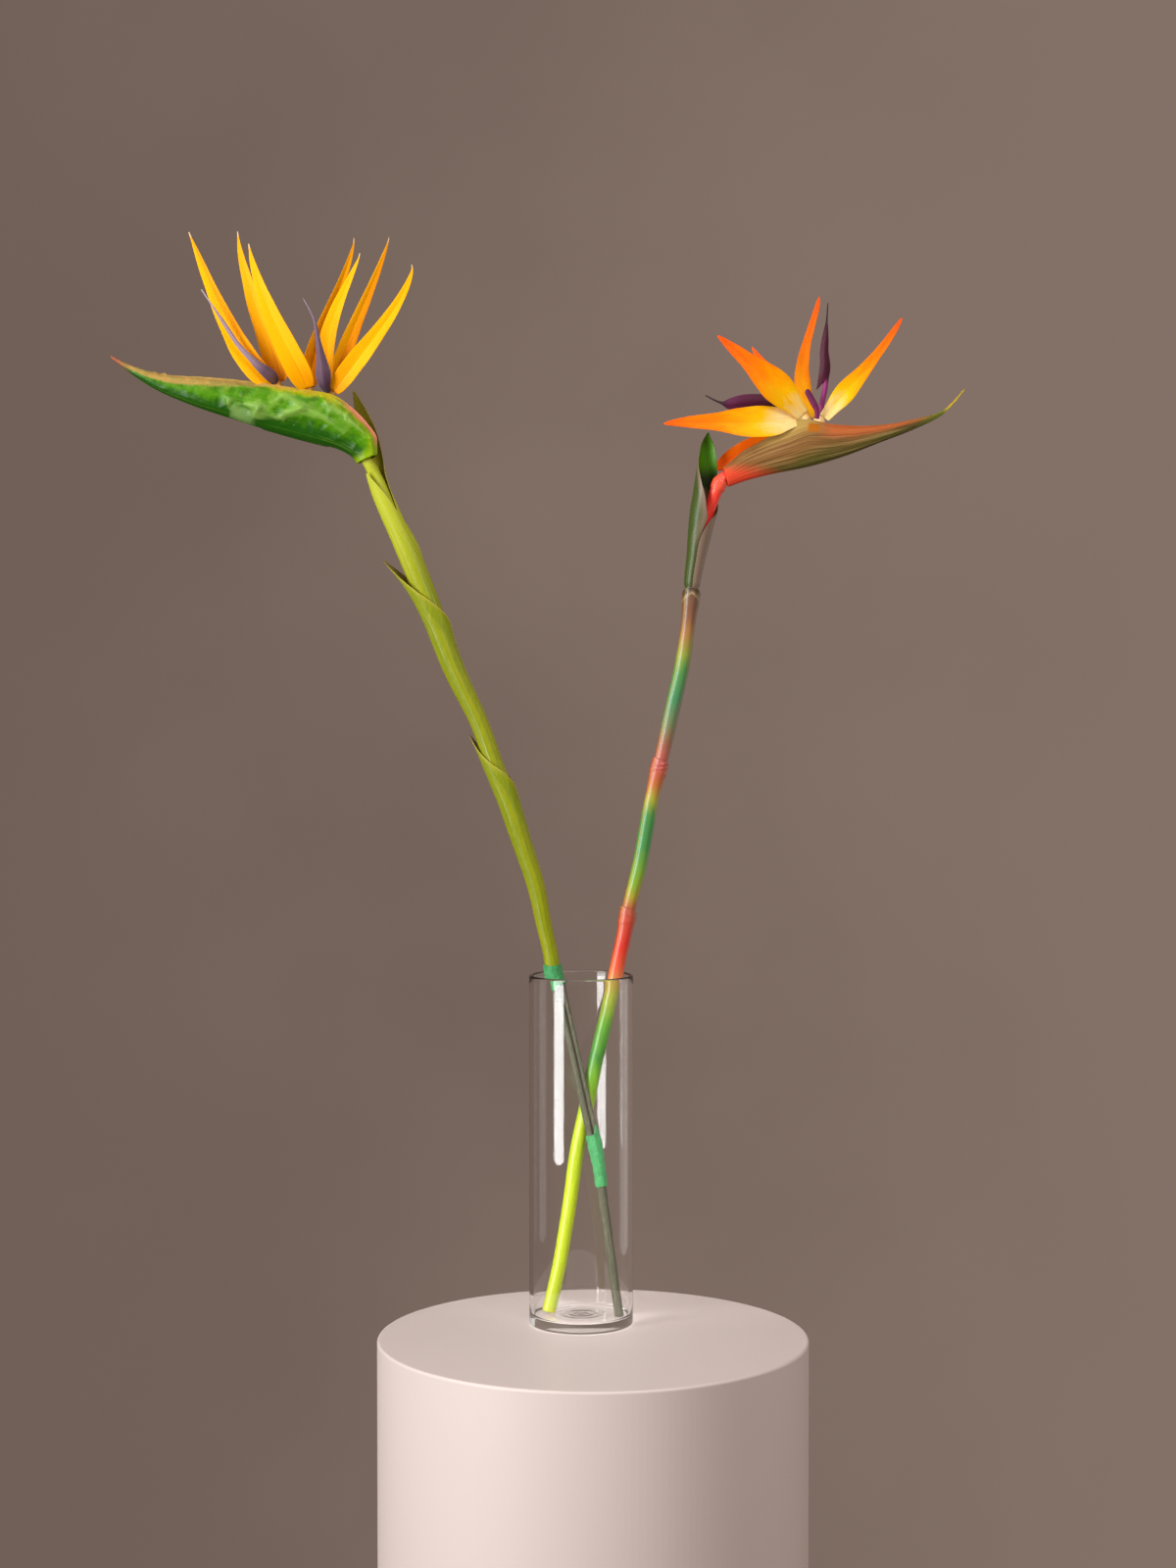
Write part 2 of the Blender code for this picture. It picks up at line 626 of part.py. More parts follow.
def make_yellow_flower():
    group = add_group("yellow_flower", YELLOW_STALK[0][:3])
    skin = make_material("yellow flower's stalk", (0.38, 0.48, 0.10), 0.45)
    sheath = make_material("yellow flower's sheath", (0.33, 0.46, 0.06), 0.45)
    leaf = make_material("green spathe", (0.05, 0.30, 0.04), 0.35)
    stalk = Path(YELLOW_STALK)
    make_stalk("yellow_flower_stalk", stalk, skin, group)
    for name, (azimuth, rows) in YELLOW_SHEATHS.items():
        make_sheath(name, stalk, azimuth, rows, sheath, group)
    azimuth, rows = YELLOW_TOP_SHEATH
    make_sheath("yellow_stalk_sheath_4", Path(YELLOW_TOP_SHEATH_AXIS), azimuth, rows, sheath, group)
    make_spathe("yellow_spathe", YELLOW_SPATHE, leaf, group)
    make_florets(
        "yellow",
        make_material("yellow flower's floret", (0.62, 0.50, 0.16), 0.5),
        make_material("yellow sepal", (0.95, 0.47, 0.01), 0.5),
        make_material("dusky blue petal", (0.09, 0.06, 0.16), 0.55),
        group,
    )


def make_orange_flower():
    group = add_group("orange_flower", ORANGE_STALK[0][:3])
    skin = make_material("coral neck", (0.70, 0.06, 0.03), 0.4)
    sheath = make_material("mottled sheath", (0.14, 0.20, 0.05), 0.4)
    leaf = make_material("bronze spathe", (0.22, 0.15, 0.05), 0.5)
    stalk = Path(ORANGE_STALK)
    make_stalk("orange_flower_stalk", stalk, skin, group)
    for name, rows in ORANGE_TUBES.items():
        make_tube(name, stalk, rows, SHEATH_WALL, sheath, group)
    azimuth, rows = ORANGE_TOP_SHEATH
    make_sheath("orange_stalk_sheath_4", Path(ORANGE_TOP_SHEATH_AXIS), azimuth, rows, sheath, group)
    make_spathe("orange_spathe", ORANGE_SPATHE, leaf, group)
    make_florets(
        "orange",
        make_material("cream floret", (0.90, 0.72, 0.45), 0.5),
        make_material("orange sepal", (0.95, 0.28, 0.01), 0.5),
        make_material("plum petal", (0.10, 0.02, 0.07), 0.55),
        group,
    )


def main():
    clear_scene()
    make_vase(make_material("clear glass", (0.90, 0.95, 0.93), 0.02, transmission=1.0))
    make_yellow_flower()
    make_orange_flower()
    make_splint(
        make_material("grey green cane", (0.12, 0.14, 0.10), 0.6),
        make_material("green floral tape", (0.02, 0.25, 0.08), 0.6),
    )


main()
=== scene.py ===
"""Two cut bird of paradise flowers in a clear glass cylinder vase, modelled round the CAD frame.

Tables are in millimetres; every mesh is made in metres, in the frame's own place.
"""
import bisect
import functools
import math

import bmesh
import bpy
from bpy.props import FloatProperty, FloatVectorProperty, PointerProperty
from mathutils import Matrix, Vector, noise


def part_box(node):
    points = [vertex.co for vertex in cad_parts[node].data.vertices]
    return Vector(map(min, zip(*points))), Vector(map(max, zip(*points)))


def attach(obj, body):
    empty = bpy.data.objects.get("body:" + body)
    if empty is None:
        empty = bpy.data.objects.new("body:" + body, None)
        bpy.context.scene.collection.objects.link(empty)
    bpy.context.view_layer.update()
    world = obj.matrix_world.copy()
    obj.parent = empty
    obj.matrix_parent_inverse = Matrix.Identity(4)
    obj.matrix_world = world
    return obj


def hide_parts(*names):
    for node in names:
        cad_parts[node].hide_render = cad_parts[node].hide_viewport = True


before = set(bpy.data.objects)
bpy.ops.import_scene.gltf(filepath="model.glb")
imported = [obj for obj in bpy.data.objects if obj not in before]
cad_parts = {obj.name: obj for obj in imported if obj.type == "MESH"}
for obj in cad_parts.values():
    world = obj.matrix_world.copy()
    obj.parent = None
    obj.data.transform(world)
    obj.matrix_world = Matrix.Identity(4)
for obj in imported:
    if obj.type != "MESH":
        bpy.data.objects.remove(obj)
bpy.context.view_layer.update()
VASE_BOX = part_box("glass_vase")

bl_info = {
    "name": "Bird of Paradise Flowers in a Vase",
    "version": (1, 0, 0),
    "blender": (4, 5, 0),
    "location": "View3D > Sidebar > Flowers",
    "description": "Two cut bird of paradise flowers standing in a clear glass cylinder vase",
    "category": "Add Mesh",
}

MM = 0.001
BODY = "root"
Y_AXIS = Vector((0, 1, 0))
HEAD_Y = 18.0  # the plane of both flower heads

# The vase: the shallow hollow under it, the roundings outside and inside at its foot, the rings up
# its wall as shares of the height, and the faint ripple and rise of its floor.
VASE_HOLLOW = [(0, 0.5), (8, 0.45), (18, 0.25), (26, 0.0)]
VASE_CORNER = 2.4
VASE_INNER_CORNER = 3.0
VASE_LEVELS = (0.1, 0.3, 0.5, 0.7, 0.9, 0.97)
VASE_RIPPLE = 0.28
VASE_FLOOR_RISE = 0.35

# Faces across or round each kind of piece, and along it.
FACES = {
    "yellow stalk": (40, 330), "orange stalk": (48, 700), "stem sleeve": (56, 260), "sheath": (96, 110),
    "spathe": (168, 220), "floret": (36, 60), "sepal": (40, 140), "arrow petal": (44, 130),
    "rod": (36, 130), "tape": (72, 120),
}

# Stalks: x, y, z, radius, from the cut end up to the end of the axis inside the spathe.
YELLOW_STALK = [
    (-20.4, 17.6, 262, 4.5), (-24.0, 19.2, 285, 4.6), (-28.5, 19.5, 305, 4.7), (-35, 21, 336, 5.2),
    (-45, 22, 367, 5.5), (-55, 23, 398, 5.5), (-67, 24, 429, 5.3), (-78, 25, 460, 5.4),
    (-98, 25, 503, 5.7), (-114, 25, 545, 5.8), (-130, 24, 585, 5.8), (-144, 22.8, 618, 5.6),
    (-151, 21.9, 634, 5.4), (-157.3, 20.9, 649, 5.0), (-164.5, 18.6, 663, 4.2), (-174, 18, 674, 3.8),
    (-190, 18, 683, 3.4), (-210, 18, 690, 3.0), (-230, 18, 697, 2.4),
]
ORANGE_STALK = [
    (-25, 0.5, 8.6, 4.0), (-17, 3.4, 44, 4.0), (-9.5, 6.6, 88, 4.1), (-2.5, 9.8, 136, 4.1),
    (5, 12, 170, 4.1), (11, 13.4, 200, 4.1), (18.3, 14.4, 230, 4.1), (24.6, 15.2, 258, 4.1),
    (28.2, 15.6, 276, 4.1), (33, 16.4, 298, 4.1), (37, 17.5, 320, 4.1), (45, 20, 352, 4.1),
    (50, 21, 379, 4.1), (55, 21.5, 406, 4.1), (62, 22, 435, 4.1), (66.5, 22, 455, 4.1),
    (72, 22, 480, 4.1), (78, 22, 507, 4.1), (82, 21, 534, 4.1), (85, 20, 562, 4.1),
    (87.3, 20, 584, 4.2), (91, 20, 604, 4.3), (97, 19.5, 622, 4.5), (101.8, 18.5, 635, 4.7),
    (103.6, 18.2, 640, 5.0), (105.2, 18, 643.6, 6.0), (107.2, 18, 647.6, 6.0), (109.4, 18, 650.6, 4.5),
    (112.4, 18, 652.6, 4.0), (122, 18, 656.5, 3.3), (140, 18, 661.5, 3.1), (160, 18, 665.5, 2.9),
    (176, 18, 670.5, 2.5),
]

# Leaf sheaths: azimuth of the tip, then rows of height, inner radius, half angle.
SHEATH_WALL = 0.9
YELLOW_SHEATHS = {
    "yellow_stalk_sheath_1": (180, [
        (270, 5.05, 176), (288, 5.1, 176), (305, 5.35, 176), (336, 6.2, 176), (367, 6.7, 176),
        (386, 7.4, 176), (398, 7.6, 176), (408, 7.7, 168), (420, 7.95, 132), (432, 8.3, 84),
        (444, 9.0, 42), (457, 10.5, 4),
    ]),
    "yellow_stalk_sheath_2": (180, [
        (392, 6.1, 176), (410, 6.15, 176), (430, 6.35, 176), (457, 6.3, 176), (480, 6.8, 176),
        (500, 7.5, 176), (520, 8.1, 176), (534, 8.4, 172), (542, 8.6, 152), (551, 9.2, 118),
        (562, 10.4, 80), (576, 13.4, 44), (587, 17, 22), (596, 20.5, 3),
    ]),
    "yellow_stalk_sheath_3": (-128, [
        (517, 6.35, 176), (535, 6.85, 176), (552, 7.5, 176), (566, 7.85, 176), (582, 7.9, 174),
        (594, 7.9, 150), (607, 7.8, 116), (621, 7.8, 84), (636, 7.7, 54), (648, 7.6, 26), (657, 7.6, 5),
    ]),
}
YELLOW_TOP_SHEATH_AXIS = [
    (-114, 25, 545), (-130, 24, 585), (-144, 22.8, 618), (-151, 21.9, 634), (-157.3, 20.9, 649),
    (-162.5, 22.5, 666), (-168, 25, 684), (-175, 26, 702), (-181, 26, 718),
]
YELLOW_TOP_SHEATH = (72, [
    (561, 6.3, 176), (575, 6.3, 174), (590, 6.3, 160), (605, 6.25, 140), (620, 6.15, 116),
    (635, 6.1, 94), (649, 7.0, 74), (666, 9.2, 58), (684, 11.2, 42), (702, 12.8, 22), (718, 13.6, 4),
])
ORANGE_TUBES = {
    "orange_stalk_sheath_1": [
        (9, 4.5), (60, 4.5), (130, 4.75), (200, 4.9), (260, 4.85), (290, 4.95), (303, 5.2),
        (309, 5.85), (319, 5.85),
    ],
    "orange_stalk_sheath_2": [
        (312, 4.5), (330, 4.5), (350, 4.9), (379, 5.0), (404, 4.6), (418, 5.2), (424, 5.85),
        (434, 5.85),
    ],
    "orange_stalk_sheath_3": [
        (427, 4.5), (440, 4.7), (460, 5.1), (480, 5.2), (507, 5.1), (534, 4.6), (548, 5.2),
        (555, 5.85), (566, 5.85),
    ],
}
ORANGE_TOP_SHEATH_AXIS = [
    (84.6, 20.1, 558), (86.1, 20, 574), (88.6, 20, 590), (91, 20, 606), (93.4, 20, 620),
    (96.5, 19.5, 636), (98, 18.5, 650), (98.5, 17.5, 666), (99, 16.5, 686),
]
ORANGE_TOP_SHEATH = (150, [
    (559, 4.45, 179), (566, 4.5, 179), (569.5, 5.4, 179), (575, 5.75, 179), (590, 6.6, 179),
    (606, 8.1, 179), (618, 9.2, 173), (630, 10.0, 132), (642, 9.8, 102), (656, 8.8, 86),
    (668, 7.2, 70), (678, 5.4, 52), (685.4, 2.4, 16),
])

# Spathes: keel x, keel z, margin x, margin z, half width, half of the slot between the margins.
YELLOW_SPATHE = [
    (-172, 661.5, -157, 668, 8, 0.5), (-178, 668, -157, 680, 8.4, 0.5),
    (-188, 673, -165, 693, 8.6, 0.5), (-200, 676, -177, 705, 9.2, 2),
    (-214, 679.5, -191, 714, 9.4, 4.6), (-232, 684.5, -212, 718, 9.2, 4.6),
    (-252, 690.5, -238, 722, 8.8, 4.2), (-272, 697, -262, 725.5, 8, 0.5),
    (-297, 705.5, -290, 728, 6.8, 0.5), (-324, 717, -319, 729.5, 5, 0.5),
    (-345, 730, -344, 736, 2.8, 0.4), (-361.5, 742.5, -362, 744.5, 1.1, 0.2),
]
ORANGE_SPATHE = [
    (113.2, 644, 109, 658.5, 6.2, 0.5), (120, 646.5, 115.5, 663.5, 6.8, 0.5),
    (131, 650, 125, 671.5, 7.2, 0.6), (146, 653.5, 141, 680, 7.6, 0.8), (162, 656.5, 158, 687.5, 8.2, 3),
    (178, 660, 176, 694, 8.8, 5.4), (195, 665, 196, 691, 7.8, 4.6), (212, 671, 216, 690.5, 6, 0.8),
    (235, 680, 238, 692, 4.4, 0.6), (256, 688.5, 258, 696, 3, 0.5), (275, 697.5, 276, 701, 1.8, 0.3),
    (286, 707, 285.5, 708.6, 1.1, 0.2), (295, 718, 294.6, 719.2, 0.8, 0.15),
]
SPATHE_WALL = 1.2
# Half of a spathe's cross section: share of the way from keel to margin, share of height, share of width.
SPATHE_HALF = [(0, 0, 0), (0.14, 0.07, 0.46), (0.34, 0.3, 0.88), (0.58, 0.56, 1), (0.8, 0.82, 0.86)]

# Florets: foot, knob, knob radius.
FLORET_RADIUS = 1.9
FLORETS = {
    "yellow_floret_1": ((-224, 18, 699.2), (-233, 18, 721.5), 3.3),
    "yellow_floret_2": ((-203, 18, 692.2), (-209, 18, 717), 3.3),
    "yellow_floret_3": ((-188, 18, 687.2), (-193, 18, 714.5), 3.6),
    "orange_floret_1": ((163, 18, 671), (172, 18, 696), 4.4),
    "orange_floret_2": ((174, 18, 674.4), (182.8, 18, 694), 4.4),
}
KNOB_GAP = 0.55

# Sepals: floret, direction at the root, points at one and two thirds, tip, width, roll, fold, tip hook.
SEPALS = {
    "yellow_sepal_1": (
        "yellow_floret_1", (-0.8, -0.1, 0.6), (-259.6, 16, 748.1), (-282, 18, 792), (-301.4, 19, 839),
        17.8, -10, 34, (0, 0, 0)),
    "yellow_sepal_2": (
        "yellow_floret_1", (0.25, 0.6, 0.76), (-239.6, 27, 753.4), (-254.8, 28, 795), (-265, 27, 841),
        18.6, -12, 20, (0, 0, 0)),
    "yellow_sepal_3": (
        "yellow_floret_2", (-0.25, -0.8, 0.55), (-224.2, 3, 748), (-241.3, -1, 786.5), (-253.2, 1, 827),
        18.4, -6, 18, (0, 0, 0)),
    "yellow_sepal_4": (
        "yellow_floret_2", (0, 0.6, 0.8), (-204.5, 31, 754), (-189.1, 35, 794.6), (-175, 36, 838),
        15.5, 24, 22, (-2.6, 0, -0.6)),
    "yellow_sepal_5": (
        "yellow_floret_3", (-0.35, 0.2, 0.9), (-194.8, 22, 757.7), (-184.3, 24, 790.4), (-169.6, 24, 824),
        14, -14, 22, (-2.2, 0, 0)),
    "yellow_sepal_6": (
        "yellow_floret_3", (0.1, 0.45, 0.88), (-181.5, 27, 753.4), (-164.2, 31, 795.2), (-148, 31, 837),
        13, 20, 34, (-1.2, 0, 0.8)),
    "yellow_sepal_7": (
        "yellow_floret_3", (0.75, -0.4, 0.5), (-168.6, 9, 743.5), (-142.4, 6, 778.9), (-128.4, 7, 812),
        15, 0, 18, (-2.6, 0, 0.6)),
    "orange_sepal_1": (
        "orange_floret_1", (-0.85, -0.5, 0.1), (138.7, 8, 692.5), (100.6, 4, 692.1), (63, 2, 690.4),
        24, 0, 10, (0, 0, 0)),
    "orange_sepal_2": (
        "orange_floret_1", (-0.3, -0.84, 0.45), (149.6, 1, 717.6), (127.6, -7, 735.9), (103.4, -12, 755.4),
        24.4, 0, 12, (0, 0, 0)),
    "orange_sepal_3": (
        "orange_floret_1", (-0.3, 0.6, 0.74), (159.4, 30, 719.5), (144.6, 44, 738.6), (134, 58, 756.4),
        13.5, 0, 14, (0, 0, 0)),
    "orange_sepal_4": (
        "orange_floret_1", (-0.7, 0.7, 0.1), (154.1, 29, 681.2), (130, 32, 672.4), (102.6, 33, 657),
        18.6, 0, 16, (0, 0, 0)),
    "orange_sepal_5": (
        "orange_floret_2", (-0.45, 0.5, 0.74), (170.6, 28, 730), (176.2, 36, 761.5), (184.9, 40, 792.8),
        12.6, 6, 14, (0, 0, 0)),
    "orange_sepal_6": (
        "orange_floret_2", (0.8, -0.35, 0.5), (206.1, 11.5, 719.7), (227, 9.5, 744.9), (245.6, 10, 772),
        16, 0, 16, (0, 0, 0)),
}
SEPAL_THICKNESS = 1.1
SEPAL_CURL = 0.06
YELLOW_OUTLINE = [
    (0, 0.5), (0.05, 0.78), (0.11, 0.92), (0.2, 1), (0.31, 0.98), (0.43, 0.86), (0.57, 0.69), (0.7, 0.49),
    (0.82, 0.33), (0.91, 0.18), (0.96, 0.08), (1, 0.03),
]
SPREAD_OUTLINE = [
    (0, 0.42), (0.1, 0.56), (0.22, 0.88), (0.36, 1), (0.51, 0.84), (0.64, 0.58), (0.84, 0.33), (0.94, 0.18),
    (0.98, 0.1), (1, 0.04),
]
# The other outlines of the orange flower's sepals, by number.
ORANGE_OUTLINES = {
    4: [(0, 0.4), (0.15, 0.7), (0.35, 0.96), (0.6, 1), (0.8, 0.82), (0.93, 0.46), (1, 0.06)],
    5: [(0, 0.55), (0.14, 0.88), (0.27, 1), (0.46, 0.72), (0.64, 0.5), (0.79, 0.4), (0.92, 0.28),
        (0.98, 0.15), (1, 0.05)],
    6: [(0, 0.5), (0.12, 0.72), (0.2, 0.93), (0.27, 1), (0.36, 0.89), (0.47, 0.69), (0.61, 0.5),
        (0.76, 0.37), (0.93, 0.22), (0.98, 0.12), (1, 0.05)],
}

# Arrow petals: floret, direction at the root, further points; then rows of the share along, half
# widths on the left and the right of a petal that points up, and how far the left edge sweeps back.
ARROWS = {
    "yellow_arrow_petal_1": (
        "yellow_floret_1", (-0.4, -0.8, 0.45),
        [(-238, 11, 728.5), (-249.5, 9, 738), (-262, 8, 751), (-274.6, 8, 770), (-290.4, 8, 793.5)],
        [(0, 2.4, 2.4, 0), (0.1, 4.2, 4, 0), (0.22, 5, 4.6, 0), (0.34, 3.8, 3.4, 0), (0.45, 2.5, 2.3, 0),
         (0.6, 1.9, 1.8, 0), (0.78, 1.5, 1.4, 0), (0.88, 0.7, 0.7, 0), (1, 0.3, 0.3, 0)]),
    "yellow_arrow_petal_2": (
        "yellow_floret_3", (-0.15, -0.85, 0.5),
        [(-196.5, 9, 722), (-198, 7, 736), (-200.6, 5, 752), (-204, 4, 770), (-212, 4, 786)],
        [(0, 2, 2, 0), (0.12, 3.6, 3.6, 0), (0.22, 5.2, 5.2, 0), (0.31, 6, 5.9, 0), (0.4, 4.8, 4.6, 0),
         (0.51, 3.2, 3.1, 0), (0.62, 2.2, 2.1, 0), (0.73, 1.5, 1.5, 0), (0.82, 0.8, 0.8, 0),
         (1, 0.3, 0.3, 0)]),
    "orange_arrow_petal_1": (
        "orange_floret_1", (-0.8, 0.1, 0.6),
        [(159, 22, 701), (146, 25, 708.4), (128, 27, 710), (110, 28, 709), (96, 30, 715.3)],
        [(0, 2.1, 2.1, 0), (0.36, 2.1, 2.1, 0), (0.42, 5.6, 5.6, 3), (0.5, 6.4, 6.2, 1), (0.62, 6, 5.8, 0),
         (0.7, 5.6, 4.8, 0), (0.76, 4.2, 3.4, 0), (0.81, 1.4, 1.2, 0), (0.85, 0.75, 0.75, 0),
         (1, 0.5, 0.5, 0)]),
    "orange_arrow_petal_2": (
        "orange_floret_2", (0.1, -0.15, 0.98),
        [(185.5, 14, 710), (187.6, 11, 725), (186, 8, 744), (187.6, 8, 766), (188.6, 8, 783)],
        [(0, 2.1, 2.1, 0), (0.39, 2.1, 2.1, 0), (0.42, 7.8, 2.4, 9.5), (0.47, 6.8, 3.6, 6.5),
         (0.52, 4.8, 4.2, 3), (0.57, 3.5, 4, 1), (0.62, 3.4, 3.3, 0), (0.7, 2.7, 2.7, 0),
         (0.78, 1.5, 1.5, 0), (0.84, 0.7, 0.7, 0), (1, 0.35, 0.35, 0)]),
    "orange_short_petal": (
        "orange_floret_2", (-0.35, -0.85, 0.4),
        [(180.4, 9, 702), (176.6, 7, 709), (172, 5.5, 716.8)],
        [(0, 1.8, 1.8, 0), (0.3, 2, 2, 0), (0.55, 2.5, 2.5, 0), (0.85, 2.3, 2.4, 0), (0.96, 1.4, 1.8, 0),
         (1, 0.5, 0.5, 0)]),
}
ARROW_THICKNESS = 2.2

# Splint of the yellow flower: each end, radius.
STAKE = ((28.6, -14.4, 8.2), (13.2, -3.4, 125.0), 3.5)
THICK_ROD = ((11.6, -3.4, 125.8), (-18.6, 16.0, 257.0), 2.7)
THIN_ROD_RADIUS = 1.6
THIN_ROD_SIDE = 4.7
THIN_ROD_RAISE = 8.0

# Floral tapes: x, y, z, inner radius.
TAPE_WALL = 0.5
TAPE_STEP = 0.45
TAPE_TURN = 9.0
STALK_TAPE = [
    (-17.1, 16.2, 256.6, 5.2), (-18.6, 17.0, 261.0, 5.6), (-21.2, 18.0, 267.5, 6.45),
    (-22.5, 18.5, 275.5, 6.45),
]
SPLICE_TAPE = [
    (15.6, -5.2, 107, 3.9), (13.8, -3.9, 121, 4.1), (12.0, -2.6, 132, 4.7), (8.6, -0.6, 147, 4.9),
]

# Folds in the yellow flower's spathe: corner points x, z of a ridge, its rise, its breadth.
FOLDS = [
    ([(-236, 708), (-228, 712.4), (-223, 710.7), (-213.5, 703.5)], 2.0, 3.4),
    ([(-246, 696), (-231, 696), (-213.5, 702.8), (-201, 698), (-181, 684.6)], 2.2, 3.6),
    ([(-270, 709), (-269, 696.4), (-255, 693), (-246, 698)], 2.4, 3.6),
    ([(-261.5, 706.5), (-246, 704), (-255, 693)], 2.0, 3.2),
    ([(-329, 718), (-298, 709), (-278, 703), (-270, 708)], 1.8, 3.8),
    ([(-196, 706.5), (-181, 698), (-170.6, 688), (-162, 679.6)], 2.0, 3.2),
    ([(-197.5, 710), (-191, 700)], 1.2, 1.6),
    ([(-191, 711.6), (-181, 705)], 1.2, 1.6),
    ([(-177, 669.5), (-197.5, 678), (-228, 688)], 0.9, 3.0),
]

# Joints of the orange flower's stem: height, slant, azimuth it rises towards, rise, breadth.
STEM_JOINTS = [
    (313.5, 1.2, 200, 0.55, 0.8), (309.5, 2.0, 20, 0.3, 0.9), (430.5, 2.2, 20, 0.4, 0.8),
    (427.0, 2.4, 15, 0.35, 0.7), (424.0, 1.0, 200, 0.25, 0.8), (561.5, 4.5, 270, 0.4, 0.7),
    (557.5, 3.8, 270, 0.25, 0.9),
]
# Slant of a sleeve's upper end, and the azimuth of its highest point.
SLEEVE_SLANT = {"orange_stalk_sheath_3": (3.6, 270)}
PLAIN_SLEEVE_SLANT = (1.5, 200)
# The stem's colours, each with the height where it is purest.
STEM_COLOURS = [
    (6, (180, 156, 24)), (14, (154, 170, 6)), (90, (164, 182, 6)), (160, (152, 174, 10)),
    (182, (112, 160, 20)), (205, (44, 112, 30)), (228, (78, 134, 24)), (250, (132, 142, 34)),
    (260, (158, 124, 40)), (272, (216, 84, 50)), (290, (212, 46, 34)), (306, (196, 70, 52)),
    (318, (176, 84, 60)), (328, (160, 148, 40)), (342, (120, 160, 44)), (364, (64, 138, 70)),
    (388, (66, 136, 66)), (402, (160, 158, 50)), (414, (184, 96, 50)), (428, (186, 84, 76)),
    (446, (150, 96, 74)), (462, (108, 126, 84)), (480, (66, 134, 88)), (502, (74, 138, 70)),
    (516, (136, 150, 50)), (530, (160, 112, 60)), (545, (128, 84, 60)), (558, (108, 76, 56)),
    (566, (92, 84, 58)),
]

# The stage, in metres: soft boxes with their size, degrees to the camera's left, distance and height.
PLINTH_PLACE = Vector((0.009, -0.04, -0.0004))
LIGHTS = {
    "key": ((0.75, 1.9), 51, 1.7, 0.74),
    "fill": ((1.4, 0.9), -30, 2.3, 1.7),
    "side": ((0.9, 1.8), -112, 1.6, 0.6),
    "top": ((1.4, 1.4), 20, 0.5, 2.2),
}
LIGHT_AIM = Vector((0, 0, 0.42))
CAMERA_PLACE = (0.00525, -2.01, 0.474)
CAMERA_DIP = 1.67  # degrees below level
CAMERA_LENS = 60.3
CAMERA_SENSOR = 36


def srgb(red, green, blue):
    """The scene's linear colour for a paint given as 0 to 255."""
    return tuple(
        (c / 255 / 12.92) if c <= 10 else ((c / 255 + 0.055) / 1.055) ** 2.4 for c in (red, green, blue)
    )


def colour_prop(name, description, red, green, blue):
    return FloatVectorProperty(
        name=name, description=description, subtype="COLOR", size=3, min=0, max=1,
        default=srgb(red, green, blue),
    )


def length_prop(name, description, millimetres):
    return FloatProperty(
        name=name, description=description, default=millimetres * MM, min=0,
        subtype="DISTANCE", unit="LENGTH",
    )


def power_prop(name, description, watts):
    return FloatProperty(name=name, description=description, default=watts, min=0, unit="POWER")


# ---------------------------------------------------------------- settings


class VaseSettings(bpy.types.PropertyGroup):
    """The glass cylinder."""

    radius: FloatProperty(
        name="Radius", description="Outer radius of the cylinder", unit="LENGTH",
        default=(VASE_BOX[1].x - VASE_BOX[0].x) / 2,
    )
    height: FloatProperty(
        name="Height", description="From the underside to the rim", unit="LENGTH", default=VASE_BOX[1].z,
    )
    wall: length_prop("Wall", "Thickness of the wall", 3.0)
    floor: length_prop("Floor", "Thickness of the floor", 7.0)
    tint: colour_prop("Tint", "Colour that thick glass takes on", 176, 214, 190)
    tint_density: FloatProperty(
        name="Tint Density", description="How fast the glass takes on its tint with depth", default=1.6,
    )


class YellowFlowerSettings(bpy.types.PropertyGroup):
    """Colours of the yellow flower."""

    sepal: colour_prop("Sepal", "Lit face of a sepal", 250, 174, 0)
    # The deep colour also serves as the painted shade on each sepal's shaded half.
    sepal_deep: colour_prop("Sepal Deep", "Keel, root and inner face of a sepal", 204, 106, 0)
    sepal_tip: colour_prop("Sepal Tip", "Dry tip of a sepal", 226, 190, 150)
    petal: colour_prop("Arrow Petal", "Blade of an arrow petal", 82, 56, 72)
    petal_edge: colour_prop("Arrow Petal Edge", "Edges and thread of an arrow petal", 146, 124, 140)
    spathe: colour_prop("Spathe", "Body of the spathe", 66, 122, 4)
    # Also the painted shade in the hollows of the spathe's creases.
    spathe_dark_and_shade: colour_prop("Spathe Keel", "Lower side of the spathe", 26, 76, 6)
    spathe_fresh: colour_prop("Spathe Fresh Green", "Neck and upper side of the spathe", 140, 172, 10)
    spathe_dry: colour_prop("Spathe Dry Margin", "Dried band along the margin", 178, 136, 74)
    spathe_pink: colour_prop("Spathe Pink Margin", "Pink margin near the neck", 226, 140, 110)
    stalk: colour_prop("Stalk", "Skin of the stalk and its sheaths", 150, 152, 24)
    # Pale streaks, standing in partly for the highlight that runs along the stalk.
    stalk_streaks_and_highlight: colour_prop("Stalk Streaks", "Pale streaks along the sheaths", 200, 202, 124)


class OrangeFlowerSettings(bpy.types.PropertyGroup):
    """Colours of the orange flower."""

    sepal_cream: colour_prop("Sepal Root", "Root of a sepal", 255, 222, 146)
    sepal_yellow: colour_prop("Sepal Yellow", "Lower middle of a sepal", 255, 192, 4)
    sepal_orange: colour_prop("Sepal Orange", "Upper middle of a sepal", 255, 134, 0)
    sepal_red: colour_prop("Sepal Tip", "Tip of a sepal", 255, 86, 16)
    petal: colour_prop("Arrow Petal", "Blade of an arrow petal", 72, 18, 40)
    petal_stalk: colour_prop("Arrow Petal Stalk", "Stalk of an arrow petal", 146, 52, 116)
    spathe: colour_prop("Spathe", "Body of the spathe", 134, 92, 46)
    spathe_green: colour_prop("Spathe Green", "Lower side and far end of the spathe", 84, 84, 32)
    spathe_coral: colour_prop("Spathe Coral", "Neck end and upper margin of the spathe", 232, 76, 48)
    sheath_green: colour_prop("Top Sheath Green", "Outer face of the top sheath", 62, 78, 28)
    sheath_grey: colour_prop("Top Sheath Grey", "Far side of the top sheath", 128, 108, 92)
    neck: colour_prop("Neck", "Bent neck below the spathe", 246, 50, 34)


